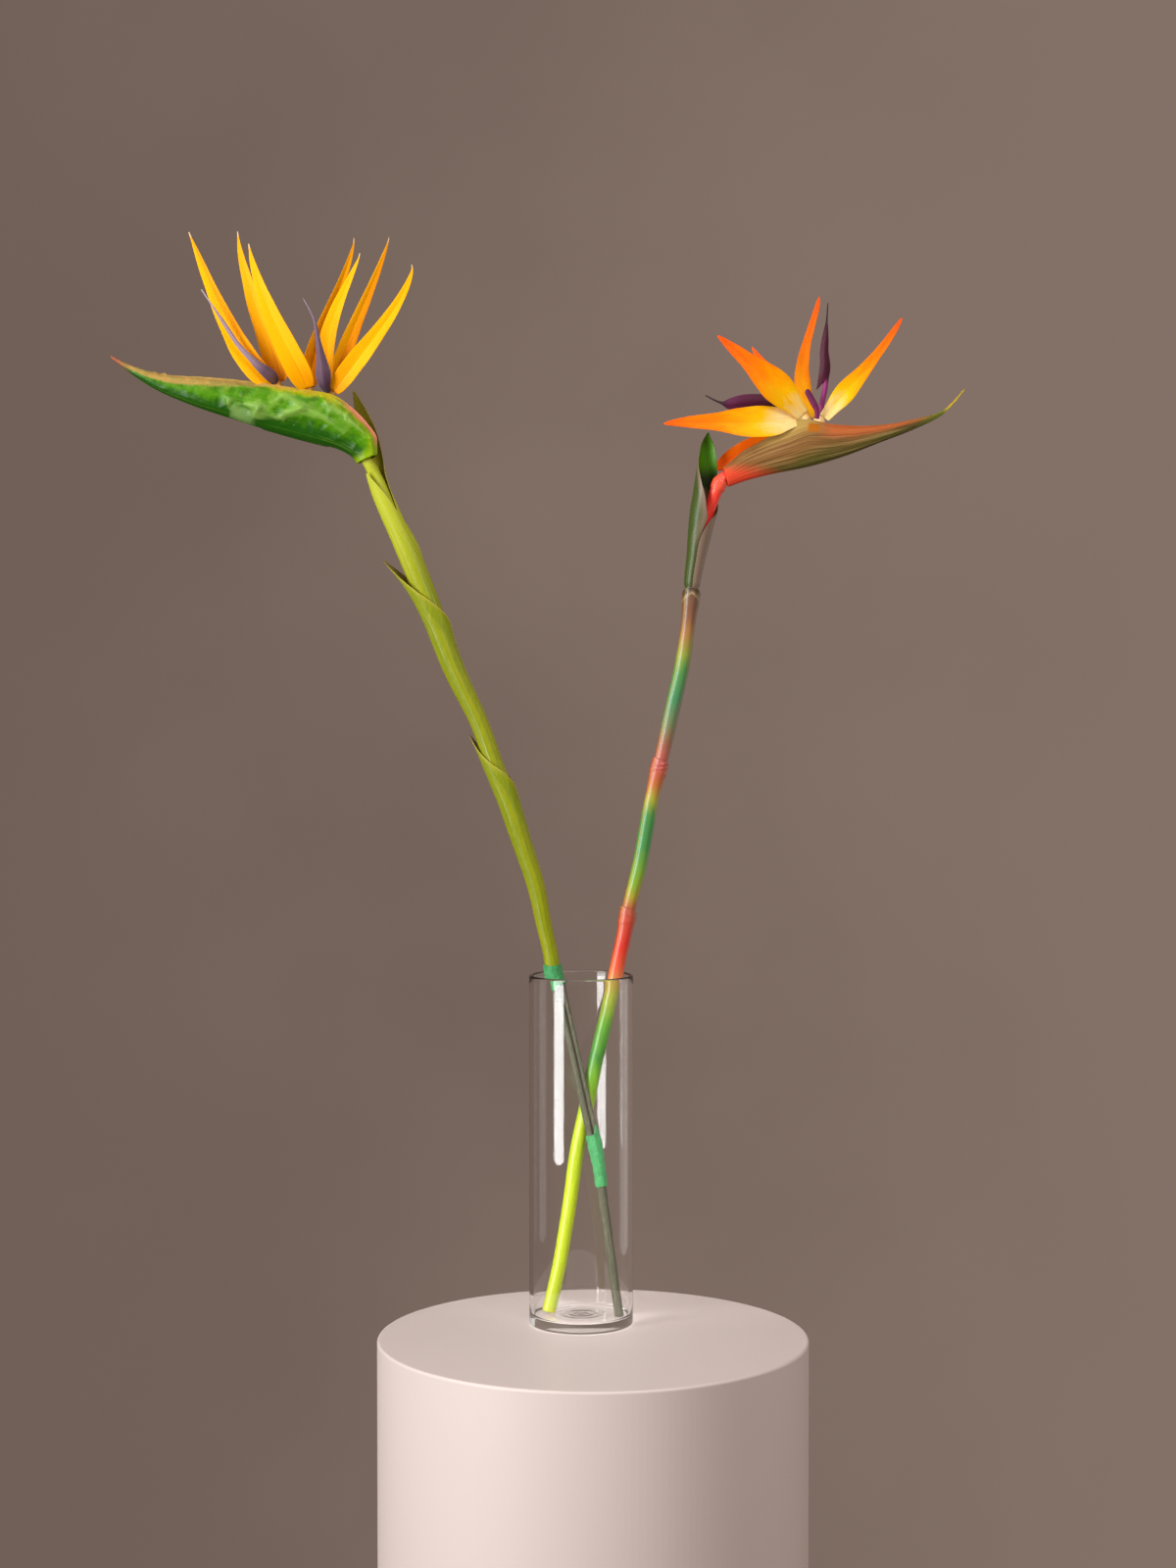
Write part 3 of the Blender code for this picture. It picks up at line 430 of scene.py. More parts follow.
class SplintSettings(bpy.types.PropertyGroup):
    """Colours of the splint."""

    cane: colour_prop("Cane", "Grey green rods and stake", 92, 92, 70)
    tape: colour_prop("Tape", "Floral tape", 48, 138, 74)


class StageSettings(bpy.types.PropertyGroup):
    """Floor, backdrop, light and camera."""

    plinth_radius: length_prop("Plinth Radius", "Radius of the round plinth the vase stands on", 162.5)
    plinth_height: length_prop("Plinth Height", "From the foot to the top of the plinth", 450)
    plinth: colour_prop("Plinth", "Colour of the plinth", 212, 198, 192)
    backdrop: colour_prop("Backdrop", "Colour all round, to the right", 131, 113, 103)
    backdrop_left: colour_prop("Backdrop Left", "Colour all round, to the left", 113, 96, 87)
    key_power: power_prop("Key Power", "Tall soft box at the left", 44)
    fill_power: power_prop("Fill Power", "Raised soft box in front", 30)
    side_power: power_prop("Side Power", "Soft box far right", 3)
    top_power: power_prop("Top Power", "Soft light overhead", 8)


# ---------------------------------------------------------------- curves and surfaces


class Curve:
    """Smooth values between rows of a key and further values, never beyond their neighbours."""

    def __init__(self, rows):
        self.keys = [row[0] for row in rows]
        self.values = [row[1:] for row in rows]
        steps = [
            [(b - a) / (high - low) for a, b in zip(below, above)]
            for low, high, below, above in zip(self.keys, self.keys[1:], self.values, self.values[1:])
        ]
        self.slopes = [steps[0]]
        for i in range(1, len(rows) - 1):
            before, after = self.keys[i] - self.keys[i - 1], self.keys[i + 1] - self.keys[i]
            row = []
            for a, b in zip(steps[i - 1], steps[i]):
                middle = abs(a * after + b * before) / (before + after)
                row.append(0 if a * b <= 0 else math.copysign(min(2 * abs(a), 2 * abs(b), middle), a))
            self.slopes.append(row)
        self.slopes.append(steps[-1])

    def __call__(self, key):
        i = min(max(bisect.bisect_right(self.keys, key), 1), len(self.keys) - 1)
        span = self.keys[i] - self.keys[i - 1]
        t = (key - self.keys[i - 1]) / span
        if t < 0 or t > 1:
            end = i - 1 if t < 0 else i
            over = key - self.keys[end]
            return [value + slope * over for value, slope in zip(self.values[end], self.slopes[end])]
        rows = zip(self.values[i - 1], self.values[i], self.slopes[i - 1], self.slopes[i])
        return [
            a + t * t * (3 - 2 * t) * (b - a) + span * t * (1 - t) * (m * (1 - t) - n * t)
            for a, b, m, n in rows
        ]


class Spine:
    """A rising smooth line through rows of x, y, z and perhaps a radius."""

    def __init__(self, rows):
        self.curve = Curve([(row[2], row[0], row[1], *row[3:]) for row in rows])
        self.low, self.high = rows[0][2], rows[-1][2]
        self.frame = functools.lru_cache(maxsize=None)(self.frame_at)

    def point(self, height):
        x, y = self.curve(height)[:2]
        return Vector((x, y, height))

    def radius(self, height):
        return self.curve(height)[2]

    def frame_at(self, height):
        """Centre, direction, and two square directions: nearest +X on an upright line, and nearest +Y."""
        along = (self.point(height + 0.4) - self.point(height - 0.4)).normalized()
        back = square_to(along, Y_AXIS)
        return self.point(height), along, back.cross(along), back


def square_to(along, direction):
    """The direction nearest to another that is square to a line."""
    return (direction - along * direction.dot(along)).normalized()


def clamp(value, low=0.0, high=1.0):
    return min(max(value, low), high)


def smooth_step(low, high, value):
    t = clamp((value - low) / (high - low))
    return t * t * (3 - 2 * t)


def bell(away, breadth):
    """1 in the middle, falling off on both sides."""
    return math.exp(-((away / breadth) ** 2))


def uneven(angle, tightness, along):
    """Noise on a round skin; the tighter, the more lumps there are round it."""
    return noise.noise(Vector((math.cos(angle) * tightness, math.sin(angle) * tightness, along)))


def arc(x, z, radius, start, end, steps):
    """Points of an arc round x, z from one angle to another, in degrees up from +X."""
    turns = [math.radians(start + (end - start) * k / steps) for k in range(steps + 1)]
    return [(x + radius * math.cos(turn), z + radius * math.sin(turn)) for turn in turns]


def curve_point(points, share):
    """A point on the smooth curve through all points, at a share of the way from the first to the last."""
    last = len(points) - 1
    place = clamp(share) * last
    i = min(int(place), last - 1)
    t = place - i
    a, b, c, d = (Vector(points[min(max(k, 0), last)]) for k in (i - 1, i, i + 1, i + 2))
    return b + 0.5 * t * (c - a + t * (2 * a - 5 * b + 4 * c - d + t * (3 * (b - c) + d - a)))


def finish_piece(builder, name, material, node):
    """Makes the object, hangs it on the body it rides on, gives it its finish, and hides the CAD part it
    stands for.
    """
    bmesh.ops.recalc_face_normals(builder, faces=builder.faces)
    mesh = bpy.data.meshes.new(name)
    builder.to_mesh(mesh)
    builder.free()
    mesh.materials.append(material)
    mesh.shade_smooth()
    piece = bpy.data.objects.new(name, mesh)
    bpy.context.scene.collection.objects.link(piece)
    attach(piece, BODY)
    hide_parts(node)
    return piece


def grid_skin(
        across, along, place,
        chart=lambda u, v: (u, v), inside=lambda u: 0.0, lift=lambda u, v: 0.0):
    """A grid laid over place(u, v) in millimetres, with its seam and poles closed.

    chart(u, v) gives the texture chart's coordinates, inside(u) marks an inner face, and lift(u, v)
    says how far creases stand out.
    """
    builder = bmesh.new()
    layer = builder.loops.layers.uv.new("chart")
    inner = builder.verts.layers.float.new("inside")
    lifted = builder.verts.layers.float.new("lift")
    bmesh.ops.create_grid(builder, x_segments=across, y_segments=along, size=0.5, calc_uvs=True)
    for vert in builder.verts:
        u, v = vert.co.x + 0.5, vert.co.y + 0.5
        vert.co = place(u, v) * MM
        vert[inner] = inside(u)
        vert[lifted] = lift(u, v)
    for face in builder.faces:
        for loop in face.loops:
            loop[layer].uv = chart(*loop[layer].uv)
    bmesh.ops.remove_doubles(builder, verts=builder.verts, dist=0.004 * MM)
    bmesh.ops.dissolve_degenerate(builder, edges=builder.edges, dist=0.001 * MM)
    return builder


def blade_skin(across, along, middle, depth, lift=lambda w, v: 0.0):
    """A thin closed leaf round middle(w, v), w from -1 to 1 across it, with half thickness depth(w, v)."""
    def spread(u):
        return math.sin((4 * u - 1 if u <= 0.5 else 3 - 4 * u) * math.pi / 2)

    surface = functools.lru_cache(maxsize=None)(middle)

    def place(u, v):
        w = round(spread(u), 6)
        v = round(v, 6)
        across_step = surface(min(w + 0.02, 1), v) - surface(max(w - 0.02, -1), v)
        along_step = surface(w, min(v + 0.004, 1)) - surface(w, max(v - 0.004, 0))
        normal = across_step.cross(along_step).normalized()
        side = 1 if u <= 0.5 else -1
        return surface(w, v) + side * depth(w, v) * normal

    return grid_skin(
        across, along, place,
        chart=lambda u, v: ((spread(u) + 1) / 2, v),
        inside=lambda u: 0.0 if 0 < u < 0.5 else 1.0,
        lift=lambda u, v: lift(round(spread(u), 6), round(v, 6)),
    )


def leaf_depth(w, v, roundness, foot, tip):
    """A leaf's share of its full thickness: thin at both edges, and over its first and last stretch."""
    return max(1 - w * w, 0) ** roundness * clamp(v / foot) ** 0.5 * clamp((1 - v) / tip) ** 0.5


def tube_skin(around, along, spine, rings):
    """A closed skin round a spine: rings(v, angle) gives the height and the radius there."""
    def place(u, v):
        angle = 2 * math.pi * round(u, 6)
        height, radius = rings(round(v, 6), angle)
        centre, _, side, back = spine.frame(round(height, 4))
        return centre + radius * (math.cos(angle) * side + math.sin(angle) * back)

    return grid_skin(around, along, place)


def rod_rings(low, high, radius_at, cap=0.006):
    """Rings of a solid rod with closed ends; radius_at(height, angle)."""
    def rings(v, angle):
        height = low + (high - low) * clamp((v - cap) / (1 - 2 * cap))
        return height, radius_at(height, angle) * min(v / cap, (1 - v) / cap, 1)

    return rings


def sleeve_rings(low, high, outer, inner, foot=0.01, mouth=0.9, lip=0.93):
    """Rings of a hollow sleeve; low(angle), high(angle), outer(height, angle), inner(height, angle)."""
    def rings(v, angle):
        bottom, top = low(angle), high(angle)
        if v <= foot:
            share = v / foot
            return bottom, inner(bottom, angle) + share * (outer(bottom, angle) - inner(bottom, angle))
        if v <= mouth:
            height = bottom + (top - bottom) * (v - foot) / (mouth - foot)
            return height, outer(height, angle)
        if v <= lip:
            turn = math.pi * (v - mouth) / (lip - mouth)
            wall = (outer(top, angle) - inner(top, angle)) / 2
            return top + wall * math.sin(turn), inner(top, angle) + wall * (1 + math.cos(turn))
        height = top + (bottom - top) * (v - lip) / (1 - lip)
        return height, inner(height, angle)

    return rings


# ---------------------------------------------------------------- finishes


class Wire:
    """One output of a shader node; arithmetic on it adds Math nodes."""

    def __init__(self, finish, socket):
        self.finish = finish
        self.socket = socket

    def math(self, operation, *values):
        return self.finish.node("ShaderNodeMath", {"operation": operation}, dict(enumerate(values)))

    def __add__(self, other):
        return self.math("ADD", self, other)

    def __sub__(self, other):
        return self.math("SUBTRACT", self, other)

    def __rsub__(self, other):
        return self.math("SUBTRACT", other, self)

    def __mul__(self, other):
        return self.math("MULTIPLY", self, other)

    def __abs__(self):
        return self.math("ABSOLUTE", self)

    __radd__ = __add__
    __rmul__ = __mul__

    def step(self, low, high):
        """From 0 at low to 1 at high, eased at both ends."""
        return self.finish.node(
            "ShaderNodeMapRange", {"interpolation_type": "SMOOTHSTEP"},
            {"Value": self, "From Min": low, "From Max": high},
        )

    def between(self, low, full_low, full_high, high):
        """1 from full_low to full_high, falling to 0 at low and at high."""
        return self.step(low, full_low) * (1 - self.step(full_high, high))


class Finish:
    """A material with one Principled shader, and one way to add any other node."""

    def __init__(self, name, **fixed):
        self.material = bpy.data.materials.new(name)
        self.material.use_nodes = True
        self.tree = self.material.node_tree
        self.shader = self.tree.nodes["Principled BSDF"]
        for socket, value in fixed.items():
            self.shader.inputs[socket.replace("_", " ")].default_value = value

    def node(self, kind, settings=None, inputs=None, output=0):
        node = self.tree.nodes.new(kind)
        for key, value in (settings or {}).items():
            if key == "stops":
                self.set_stops(node.color_ramp, value)
            else:
                setattr(node, key, value)
        for key, value in (inputs or {}).items():
            self.feed(node.inputs[key], value)
        return Wire(self, node.outputs[output])

    def set_stops(self, ramp, stops):
        while len(ramp.elements) < len(stops):
            ramp.elements.new(0.5)
        for element, (place, colour) in zip(ramp.elements, stops):
            element.position = place
            element.color = (*colour, 1)

    def feed(self, socket, value):
        if isinstance(value, Wire):
            self.tree.links.new(value.socket, socket)
        elif socket.type == "RGBA":
            socket.default_value = (*value, 1)
        else:
            socket.default_value = value

    def paint(self, **sockets):
        """Feeds the Principled shader's own sockets."""
        for socket, value in sockets.items():
            self.feed(self.shader.inputs[socket.replace("_", " ")], value)
        return self.material

    def chart(self):
        """The piece's own chart: across and along, both from 0 to 1."""
        vector = self.node("ShaderNodeUVMap", {"uv_map": "chart"})
        return [self.node("ShaderNodeSeparateXYZ", None, {0: vector}, k) for k in (0, 1)]

    def mark(self, name):
        """What the mesh says at each point: 1 "inside" a leaf, or how far its creases "lift"."""
        return self.node("ShaderNodeAttribute", {"attribute_name": name}, None, "Fac")

    def place(self):
        """Place in the part, in millimetres."""
        vector = self.node("ShaderNodeTexCoord", None, None, "Object")
        return [self.node("ShaderNodeSeparateXYZ", None, {0: vector}, k) * 1000 for k in (0, 1, 2)]

    def noise(self, scale, detail=3.0, roughness=0.55, distortion=0.0, on_chart=True):
        """Noise stretched by a scale along each direction of the chart, or of the part in metres."""
        if on_chart:
            vector = self.node("ShaderNodeUVMap", {"uv_map": "chart"})
        else:
            vector = self.node("ShaderNodeTexCoord", None, None, "Object")
        vector = self.node("ShaderNodeMapping", None, {"Vector": vector, "Scale": scale})
        return self.node("ShaderNodeTexNoise", None, {
            "Vector": vector, "Scale": 1.0, "Detail": detail, "Roughness": roughness,
            "Distortion": distortion,
        })

    def mix(self, factor, first, second):
        return self.node("ShaderNodeMix", {"data_type": "RGBA"}, {0: factor, 6: first, 7: second}, 2)

    def layers(self, base, *coats):
        """Each coat, a factor and a colour, goes over what is below it."""
        for factor, colour in coats:
            base = self.mix(factor, base, colour)
        return base

    def ramp(self, factor, stops):
        return self.node("ShaderNodeValToRGB", {"stops": stops}, {0: factor})

    def bump(self, height, distance, strength=1.0):
        return self.node(
            "ShaderNodeBump", None, {"Height": height, "Distance": distance * MM, "Strength": strength},
        )


def glass_finish(vase):
    finish = Finish(
        "clear vase glass", Transmission_Weight=1.0, IOR=1.5, Roughness=0.0, Base_Color=(1, 1, 1, 1))
    volume = finish.node(
        "ShaderNodeVolumeAbsorption", None, {"Color": vase.tint, "Density": vase.tint_density})
    finish.tree.links.new(volume.socket, finish.tree.nodes["Material Output"].inputs["Volume"])
    return finish.material


def yellow_sepal_finish(looks, name, left, right):
    """Golden yellow, with painted shade deepening the halves left and right of the keel by the given
    amounts.
    """
    finish = Finish(
        name, Subsurface_Weight=0.05, Subsurface_Scale=0.002, Subsurface_Radius=(1.0, 0.5, 0.1),
        Specular_IOR_Level=0.08)
    u, v = finish.chart()
    streaks = finish.noise((17, 1.3, 1), 3)
    blotches = finish.noise((2.2, 3.4, 1), 2)
    keel = 1 - abs(2 * u - 1).step(0.0, 0.1)
    root = 1 - v.step(0.06, 0.36)
    half = u.step(0.46, 0.54)
    deep_and_shade = keel * 0.15 + root * 0.4 + (streaks - 0.5) * 0.7 + (blotches - 0.5) * 0.5
    # Painted shade: each half beside the keel is deepened by its own amount, as if lit from one side.
    deep_and_shade = deep_and_shade + half * right + (1 - half) * left
    return finish.paint(
        Base_Color=finish.layers(
            looks.sepal,
            (deep_and_shade.step(-0.1, 1.1), looks.sepal_deep),
            (v.step(0.962, 0.985), looks.sepal_tip),
        ),
        Roughness=0.5 + (streaks - 0.5) * 0.2,
        Normal=finish.bump(streaks - keel * 0.8, 0.1, 0.4),
    )


def orange_sepal_finish(looks, name, start, end):
    """Cream at the root through yellow and orange to red at the tip, from start to end of that range."""
    finish = Finish(
        name, Subsurface_Weight=0.1, Subsurface_Scale=0.002, Subsurface_Radius=(1.0, 0.5, 0.1),
        Specular_IOR_Level=0.08)
    u, v = finish.chart()
    from_keel = abs(2 * u - 1)
    streaks = finish.noise((30, 1.6, 1), 4)
    blotches = finish.noise((2.6, 4.5, 1), 3, 0.6, 0.6)
    fine = finish.noise((60, 7, 1), 3)
    edge = from_keel.step(0.7, 1.0)
    keel = 1 - from_keel.step(0.0, 0.1)
    place = v * (end - start) + start + (blotches - 0.5) * 0.34 + edge * 0.06 + keel * 0.03
    colour = finish.ramp(place, [
        (0.0, looks.sepal_cream), (0.16, looks.sepal_cream), (0.34, looks.sepal_yellow),
        (0.62, looks.sepal_orange), (0.98, looks.sepal_red),
    ])
    return finish.paint(
        Base_Color=finish.mix((streaks - 0.45).step(0.0, 0.4) * 0.35, colour, looks.sepal_orange),
        Roughness=0.5 + (fine - 0.5) * 0.2,
        Normal=finish.bump(fine * 0.6 + streaks, 0.22, 0.5),
    )


def arrow_finish(name, stops, lit):
    """Colours along the petal from stalk to thread, paler along its edges."""
    finish = Finish(name, Specular_IOR_Level=0.2, Sheen_Weight=0.05)
    u, v = finish.chart()
    streaks = finish.noise((22, 5, 1), 4)
    patches = finish.noise((3, 7, 1), 3)
    edge = abs(2 * u - 1).step(0.72, 1.0)
    return finish.paint(
        Base_Color=finish.layers(
            finish.ramp(v, stops),
            ((edge * 0.5 + (patches - 0.5) * 0.7).step(0.1, 0.9) * 0.55, lit),
            ((0.5 - streaks).step(0.0, 0.25) * 0.4, srgb(40, 26, 34)),
        ),
        Roughness=0.46 + (streaks - 0.5) * 0.3,
        Normal=finish.bump(streaks, 0.2, 0.7),
    )


def yellow_spathe_finish(looks):
    """Creased green with a dark keel, a dried margin, and amber and pink along it towards the neck; painted
    highlights on the raised creases, on pale patches of the upper side and on one fold, and painted shade
    in the creases' hollows.
    """
    finish = Finish("yellow flower's spathe", Coat_Roughness=0.22, Specular_IOR_Level=0.08)
    u, v = finish.chart()
    x, _, z = finish.place()
    lift = finish.mark("lift")
    from_keel = abs(2 * u - 1)
    patches = finish.noise((110, 60, 110), 3, 0.6, 0.4, on_chart=False)
    veins = finish.noise((60, 2.4, 1), 4, 0.6)
    fine = finish.noise((900, 900, 900), 3, on_chart=False)
    specks = finish.noise((420, 300, 420), 1, 0.2, on_chart=False)
    wobble = (patches - 0.5) * 0.5 + (fine - 0.5) * 0.12
    fresh = (1 - v.step(0.0, 0.1)) + (1 - v.step(0.1, 0.3)) * (from_keel + wobble * 0.6).step(0.5, 0.9)
    fresh = fresh + (from_keel + wobble * 0.5).step(0.72, 0.92) * (1 - v.step(0.5, 0.62))
    speck = (specks - 0.74).step(0.0, 0.03) * v.between(0.3, 0.36, 0.46, 0.54)
    speck = speck * from_keel.between(0.25, 0.35, 0.6, 0.75)
    dry_reach = v.step(0.4, 0.98) * 0.5
    dry = (from_keel + dry_reach + wobble * 0.45).step(0.92, 1.04) * v.step(0.36, 0.5)
    dry_colour = finish.mix(
        (veins * 0.5 + patches * 0.5).step(0.35, 0.65), looks.spathe_dry, srgb(132, 122, 58))
    slant = z + x * 0.35 + wobble * 8
    # Painted highlight: one pale green patch on a fold.
    highlight_patch = (x + wobble * 12 - z * 0.3).between(-481, -477, -464, -457) * slant.between(600, 603, 611, 616)
    amber = (from_keel + wobble * 0.5).step(0.8, 0.94) * v.between(0.16, 0.24, 0.5, 0.6)
    pink = (from_keel + wobble * 0.3).step(0.84, 0.95) * v.between(0.03, 0.1, 0.24, 0.34)
    colour = finish.layers(
        looks.spathe_dark_and_shade,
        ((from_keel + wobble).step(0.28, 0.55), looks.spathe),
        # Painted highlight: pale patches on the upper side, where the soft light catches the folds.
        ((patches - 0.42).step(0.0, 0.25) * from_keel.step(0.4, 0.75) * 0.35, srgb(142, 170, 62)),
        (fresh.step(0.0, 1.25), looks.spathe_fresh),
        ((veins - 0.52).step(0.0, 0.3) * 0.4, srgb(150, 176, 66)),
        (speck * 0.5, srgb(206, 222, 150)),
        (dry, dry_colour),
        # Painted highlight on the raised creases, and painted shade in their hollows.
        ((lift + wobble).step(0.8, 2.6) * (1 - dry) * 0.5, srgb(136, 172, 76)),
        ((0.3 - lift).step(0.0, 1.3) * (1 - dry) * 0.6, looks.spathe_dark_and_shade),
        (highlight_patch * (0.5 + wobble), srgb(132, 166, 92)),
        (amber * 0.55, srgb(186, 134, 30)),
        (pink, looks.spathe_pink),
        (v.step(0.9, 0.985), srgb(150, 84, 60)),
    )
    return finish.paint(
        Base_Color=colour,
        Roughness=0.32 + dry * 0.3 + (fine - 0.5) * 0.15,
        Coat_Weight=0.16 - dry * 0.16,
        Normal=finish.bump(veins * 0.5 + fine * 0.25 + patches * 1.6, 0.6, 0.7),
    )


def orange_spathe_finish(looks):
    """Striated olive brown, coral at the neck and along the margin, green to straw at the far end."""
    finish = Finish("orange flower's spathe", Specular_IOR_Level=0.12)
    u, v = finish.chart()
    x, _, _ = finish.place()
    from_keel = abs(2 * u - 1)
    grain = finish.noise((36, 1.3, 1), 5, 0.7)
    fine = finish.noise((90, 2.6, 1), 4, 0.65)
    patches = finish.noise((3, 5, 1), 3)
    wobble = (grain - 0.5) * 0.25 + (patches - 0.5) * 0.5
    crest = from_keel.step(0.6, 0.95) * v.between(0.2, 0.28, 0.4, 0.48)
    coral_top = (from_keel + wobble * 0.4).step(0.5, 0.75) * v.between(0.42, 0.5, 0.68, 0.82)
    coral_foot = 1 - (v + from_keel * 0.3 + wobble * 0.1).step(0.18, 0.36)
    amber = (x + wobble * 10).between(171, 177, 180, 186) * (0.8 + wobble)
    amber = amber * (from_keel + wobble * 0.2).between(0.66, 0.78, 0.86, 0.97)
    colour = finish.layers(
        looks.spathe_green,
        ((from_keel - v * 0.35 + wobble).step(0.0, 0.4), looks.spathe),
        ((fine - 0.5).step(0.0, 0.14) * 0.6, srgb(180, 146, 98)),
        ((0.5 - fine).step(0.0, 0.14) * 0.75, srgb(74, 54, 28)),
        (crest * 0.7, srgb(190, 160, 84)),
        (coral_top * 0.6, srgb(206, 96, 44)),
        (coral_foot, looks.spathe_coral),
        ((v + wobble * 0.1).step(0.74, 0.86), srgb(112, 130, 34)),
        (v.step(0.84, 0.9), srgb(224, 194, 56)),
        (amber.step(0.1, 0.6), srgb(176, 100, 16)),
    )
    return finish.paint(
        Base_Color=colour,
        Roughness=0.46 + (grain - 0.5) * 0.3,
        Normal=finish.bump(grain + fine * 0.8, 0.6, 0.9),
    )


def yellow_stalk_finish(looks, name, edge_amount):
    """Fresh green skin with pale streaks along it, partly real streaks and partly a painted highlight; the
    sheaths' margins are yellowish.
    """
    finish = Finish(name, Coat_Roughness=0.25, Coat_Weight=0.05, Specular_IOR_Level=0.1)
    u, _ = finish.chart()
    _, _, z = finish.place()
    streaks = finish.noise((26, 1.3, 1), 4, 0.6)
    broad = finish.noise((5, 1.1, 1), 2)
    fine = finish.noise((500, 500, 120), 3, on_chart=False)
    colour = finish.layers(
        looks.stalk,
        ((broad + (fine - 0.5) * 0.3).step(0.3, 0.7), srgb(112, 128, 16)),
        (z.step(540, 640) * 0.75, srgb(182, 188, 44)),
        # Pale streaks along the stalk, partly real and partly a painted highlight, stronger higher up.
        ((streaks - 0.5).step(0.0, 0.3) * (0.3 + z.step(300, 480) * 0.5), looks.stalk_streaks_and_highlight),
        ((0.44 - streaks).step(0.0, 0.25) * 0.5, srgb(88, 108, 20)),
        (abs(2 * u - 1).step(0.93, 1.0) * edge_amount, srgb(200, 176, 70)),
        (finish.mark("inside") * 0.65 * edge_amount, srgb(104, 78, 22)),
    )
    return finish.paint(
        Base_Color=colour,
        Roughness=0.36 + (fine - 0.5) * 0.2,
        Normal=finish.bump(streaks + fine * 0.3, 0.3, 0.55),
    )


def stem_finish():
    """Dyed bamboo-like stem, its colour changing from joint to joint, with a painted highlight line along
    its upper part.
    """
    finish = Finish("orange flower's jointed stem", Coat_Roughness=0.2, Coat_Weight=0.16)
    u, _ = finish.chart()
    _, _, z = finish.place()
    streaks = finish.noise((22, 2.0, 1), 4, 0.6)
    patches = finish.noise((160, 160, 40), 3, on_chart=False)
    fine = finish.noise((700, 700, 200), 2, on_chart=False)
    top = STEM_COLOURS[-1][0]
    stops = [(height / top, srgb(*paint)) for height, paint in STEM_COLOURS]
    left_line = (1 - abs(u - 0.53).step(0.0, 0.045)) * z.step(250, 275)
    # Painted highlight: a pale line down the stem where a soft box's reflection runs.
    highlight_line = (1 - abs(u - 0.63).step(0.0, 0.03)) * z.step(250, 300)
    dark_side = (1 - abs(u - 0.54).step(0.0, 0.07)) * z.between(150, 185, 235, 255)
    grey_side = (1 - abs(u - 0.97).step(0.02, 0.14)) * z.step(420, 450)
    chevron = z + abs(u - 0.75) * 30
    colour = finish.layers(
        finish.ramp((z + (patches - 0.5) * 22) * (1 / top), stops),
        (left_line * 0.8, srgb(128, 66, 34)),
        (highlight_line * 0.4, srgb(214, 184, 96)),
        (dark_side * 0.75, srgb(34, 66, 30)),
        (chevron.between(560.4, 562, 562.4, 564.2) * 0.4, srgb(190, 164, 112)),
        (chevron.between(564, 565.2, 580, 581) * 0.6, srgb(64, 48, 30)),
        (grey_side * 0.6, srgb(120, 98, 76)),
        ((streaks - 0.5).step(0.0, 0.35) * 0.3, srgb(170, 150, 80)),
    )
    return finish.paint(
        Base_Color=colour,
        Roughness=0.36 + (fine - 0.5) * 0.15,
        Normal=finish.bump(streaks * 0.6 + patches * 0.5, 0.25, 0.5),
    )


def neck_finish(looks):
    """Coral red neck, a little paler at its knee; the stem's cut end is straw."""
    finish = Finish("orange flower's neck", Coat_Weight=0.1)
    _, _, z = finish.place()
    patches = finish.noise((240, 240, 240), 3, on_chart=False)
    return finish.paint(
        Base_Color=finish.layers(
            looks.neck,
            ((patches - 0.35).step(0.0, 0.4), srgb(236, 66, 44)),
            (z.between(636, 642, 650, 654) * 0.35, srgb(226, 112, 74)),
            ((20 - z).step(0.0, 6.0), srgb(214, 168, 60)),
        ),
        Roughness=0.45 + (patches - 0.5) * 0.2,
        Normal=finish.bump(patches, 0.5, 0.5),
    )


def top_sheath_finish(looks):
    """Streaked green outside, grey towards the seam, and bright green inside, with painted shade darkening
    the inside lower down, and below it a pale brown throat, its own brown painted lighter against its
    shade.
    """
    finish = Finish(
        "orange flower's top sheath", Coat_Roughness=0.3, Coat_Weight=0.05, Specular_IOR_Level=0.3)
    u, _ = finish.chart()
    _, _, z = finish.place()
    streaks = finish.noise((26, 1.4, 1), 4, 0.6)
    broad = finish.noise((4, 2, 1), 2)
    near_seam = (u + (broad - 0.5) * 0.12).step(0.86, 0.97) * z.step(592, 622)
    outer = finish.layers(
        looks.sheath_green,
        (near_seam, looks.sheath_grey),
        ((1 - u).step(0.58, 0.74), looks.sheath_grey),
        ((streaks - 0.52).step(0.0, 0.3) * 0.5, srgb(128, 130, 88)),
    )
    inner = finish.layers(
        srgb(84, 146, 8),
        (streaks.step(0.3, 0.7), srgb(52, 112, 8)),
        # Painted shade: the inside darkens further down the sheath.
        (z.step(664, 650), srgb(26, 44, 10)),
        # The throat's own brown, painted lighter to make up for the shade it lies in.
        (z.step(646, 634), srgb(176, 142, 108)),
    )
    colour = finish.layers(
        outer, (finish.mark("inside"), inner), (abs(2 * u - 1).step(0.984, 1.0) * 0.85, srgb(62, 46, 28)))
    return finish.paint(
        Base_Color=colour,
        Roughness=0.36 + (streaks - 0.5) * 0.25,
        Normal=finish.bump(streaks, 0.3, 0.6),
    )


def floret_finish(name, body, shade):
    finish = Finish(name)
    patches = finish.noise((300, 300, 300), 3, on_chart=False)
    return finish.paint(
        Base_Color=finish.mix(patches.step(0.35, 0.7), body, shade),
        Roughness=0.5 + (patches - 0.5) * 0.2,
        Normal=finish.bump(patches, 0.4, 0.5),
    )


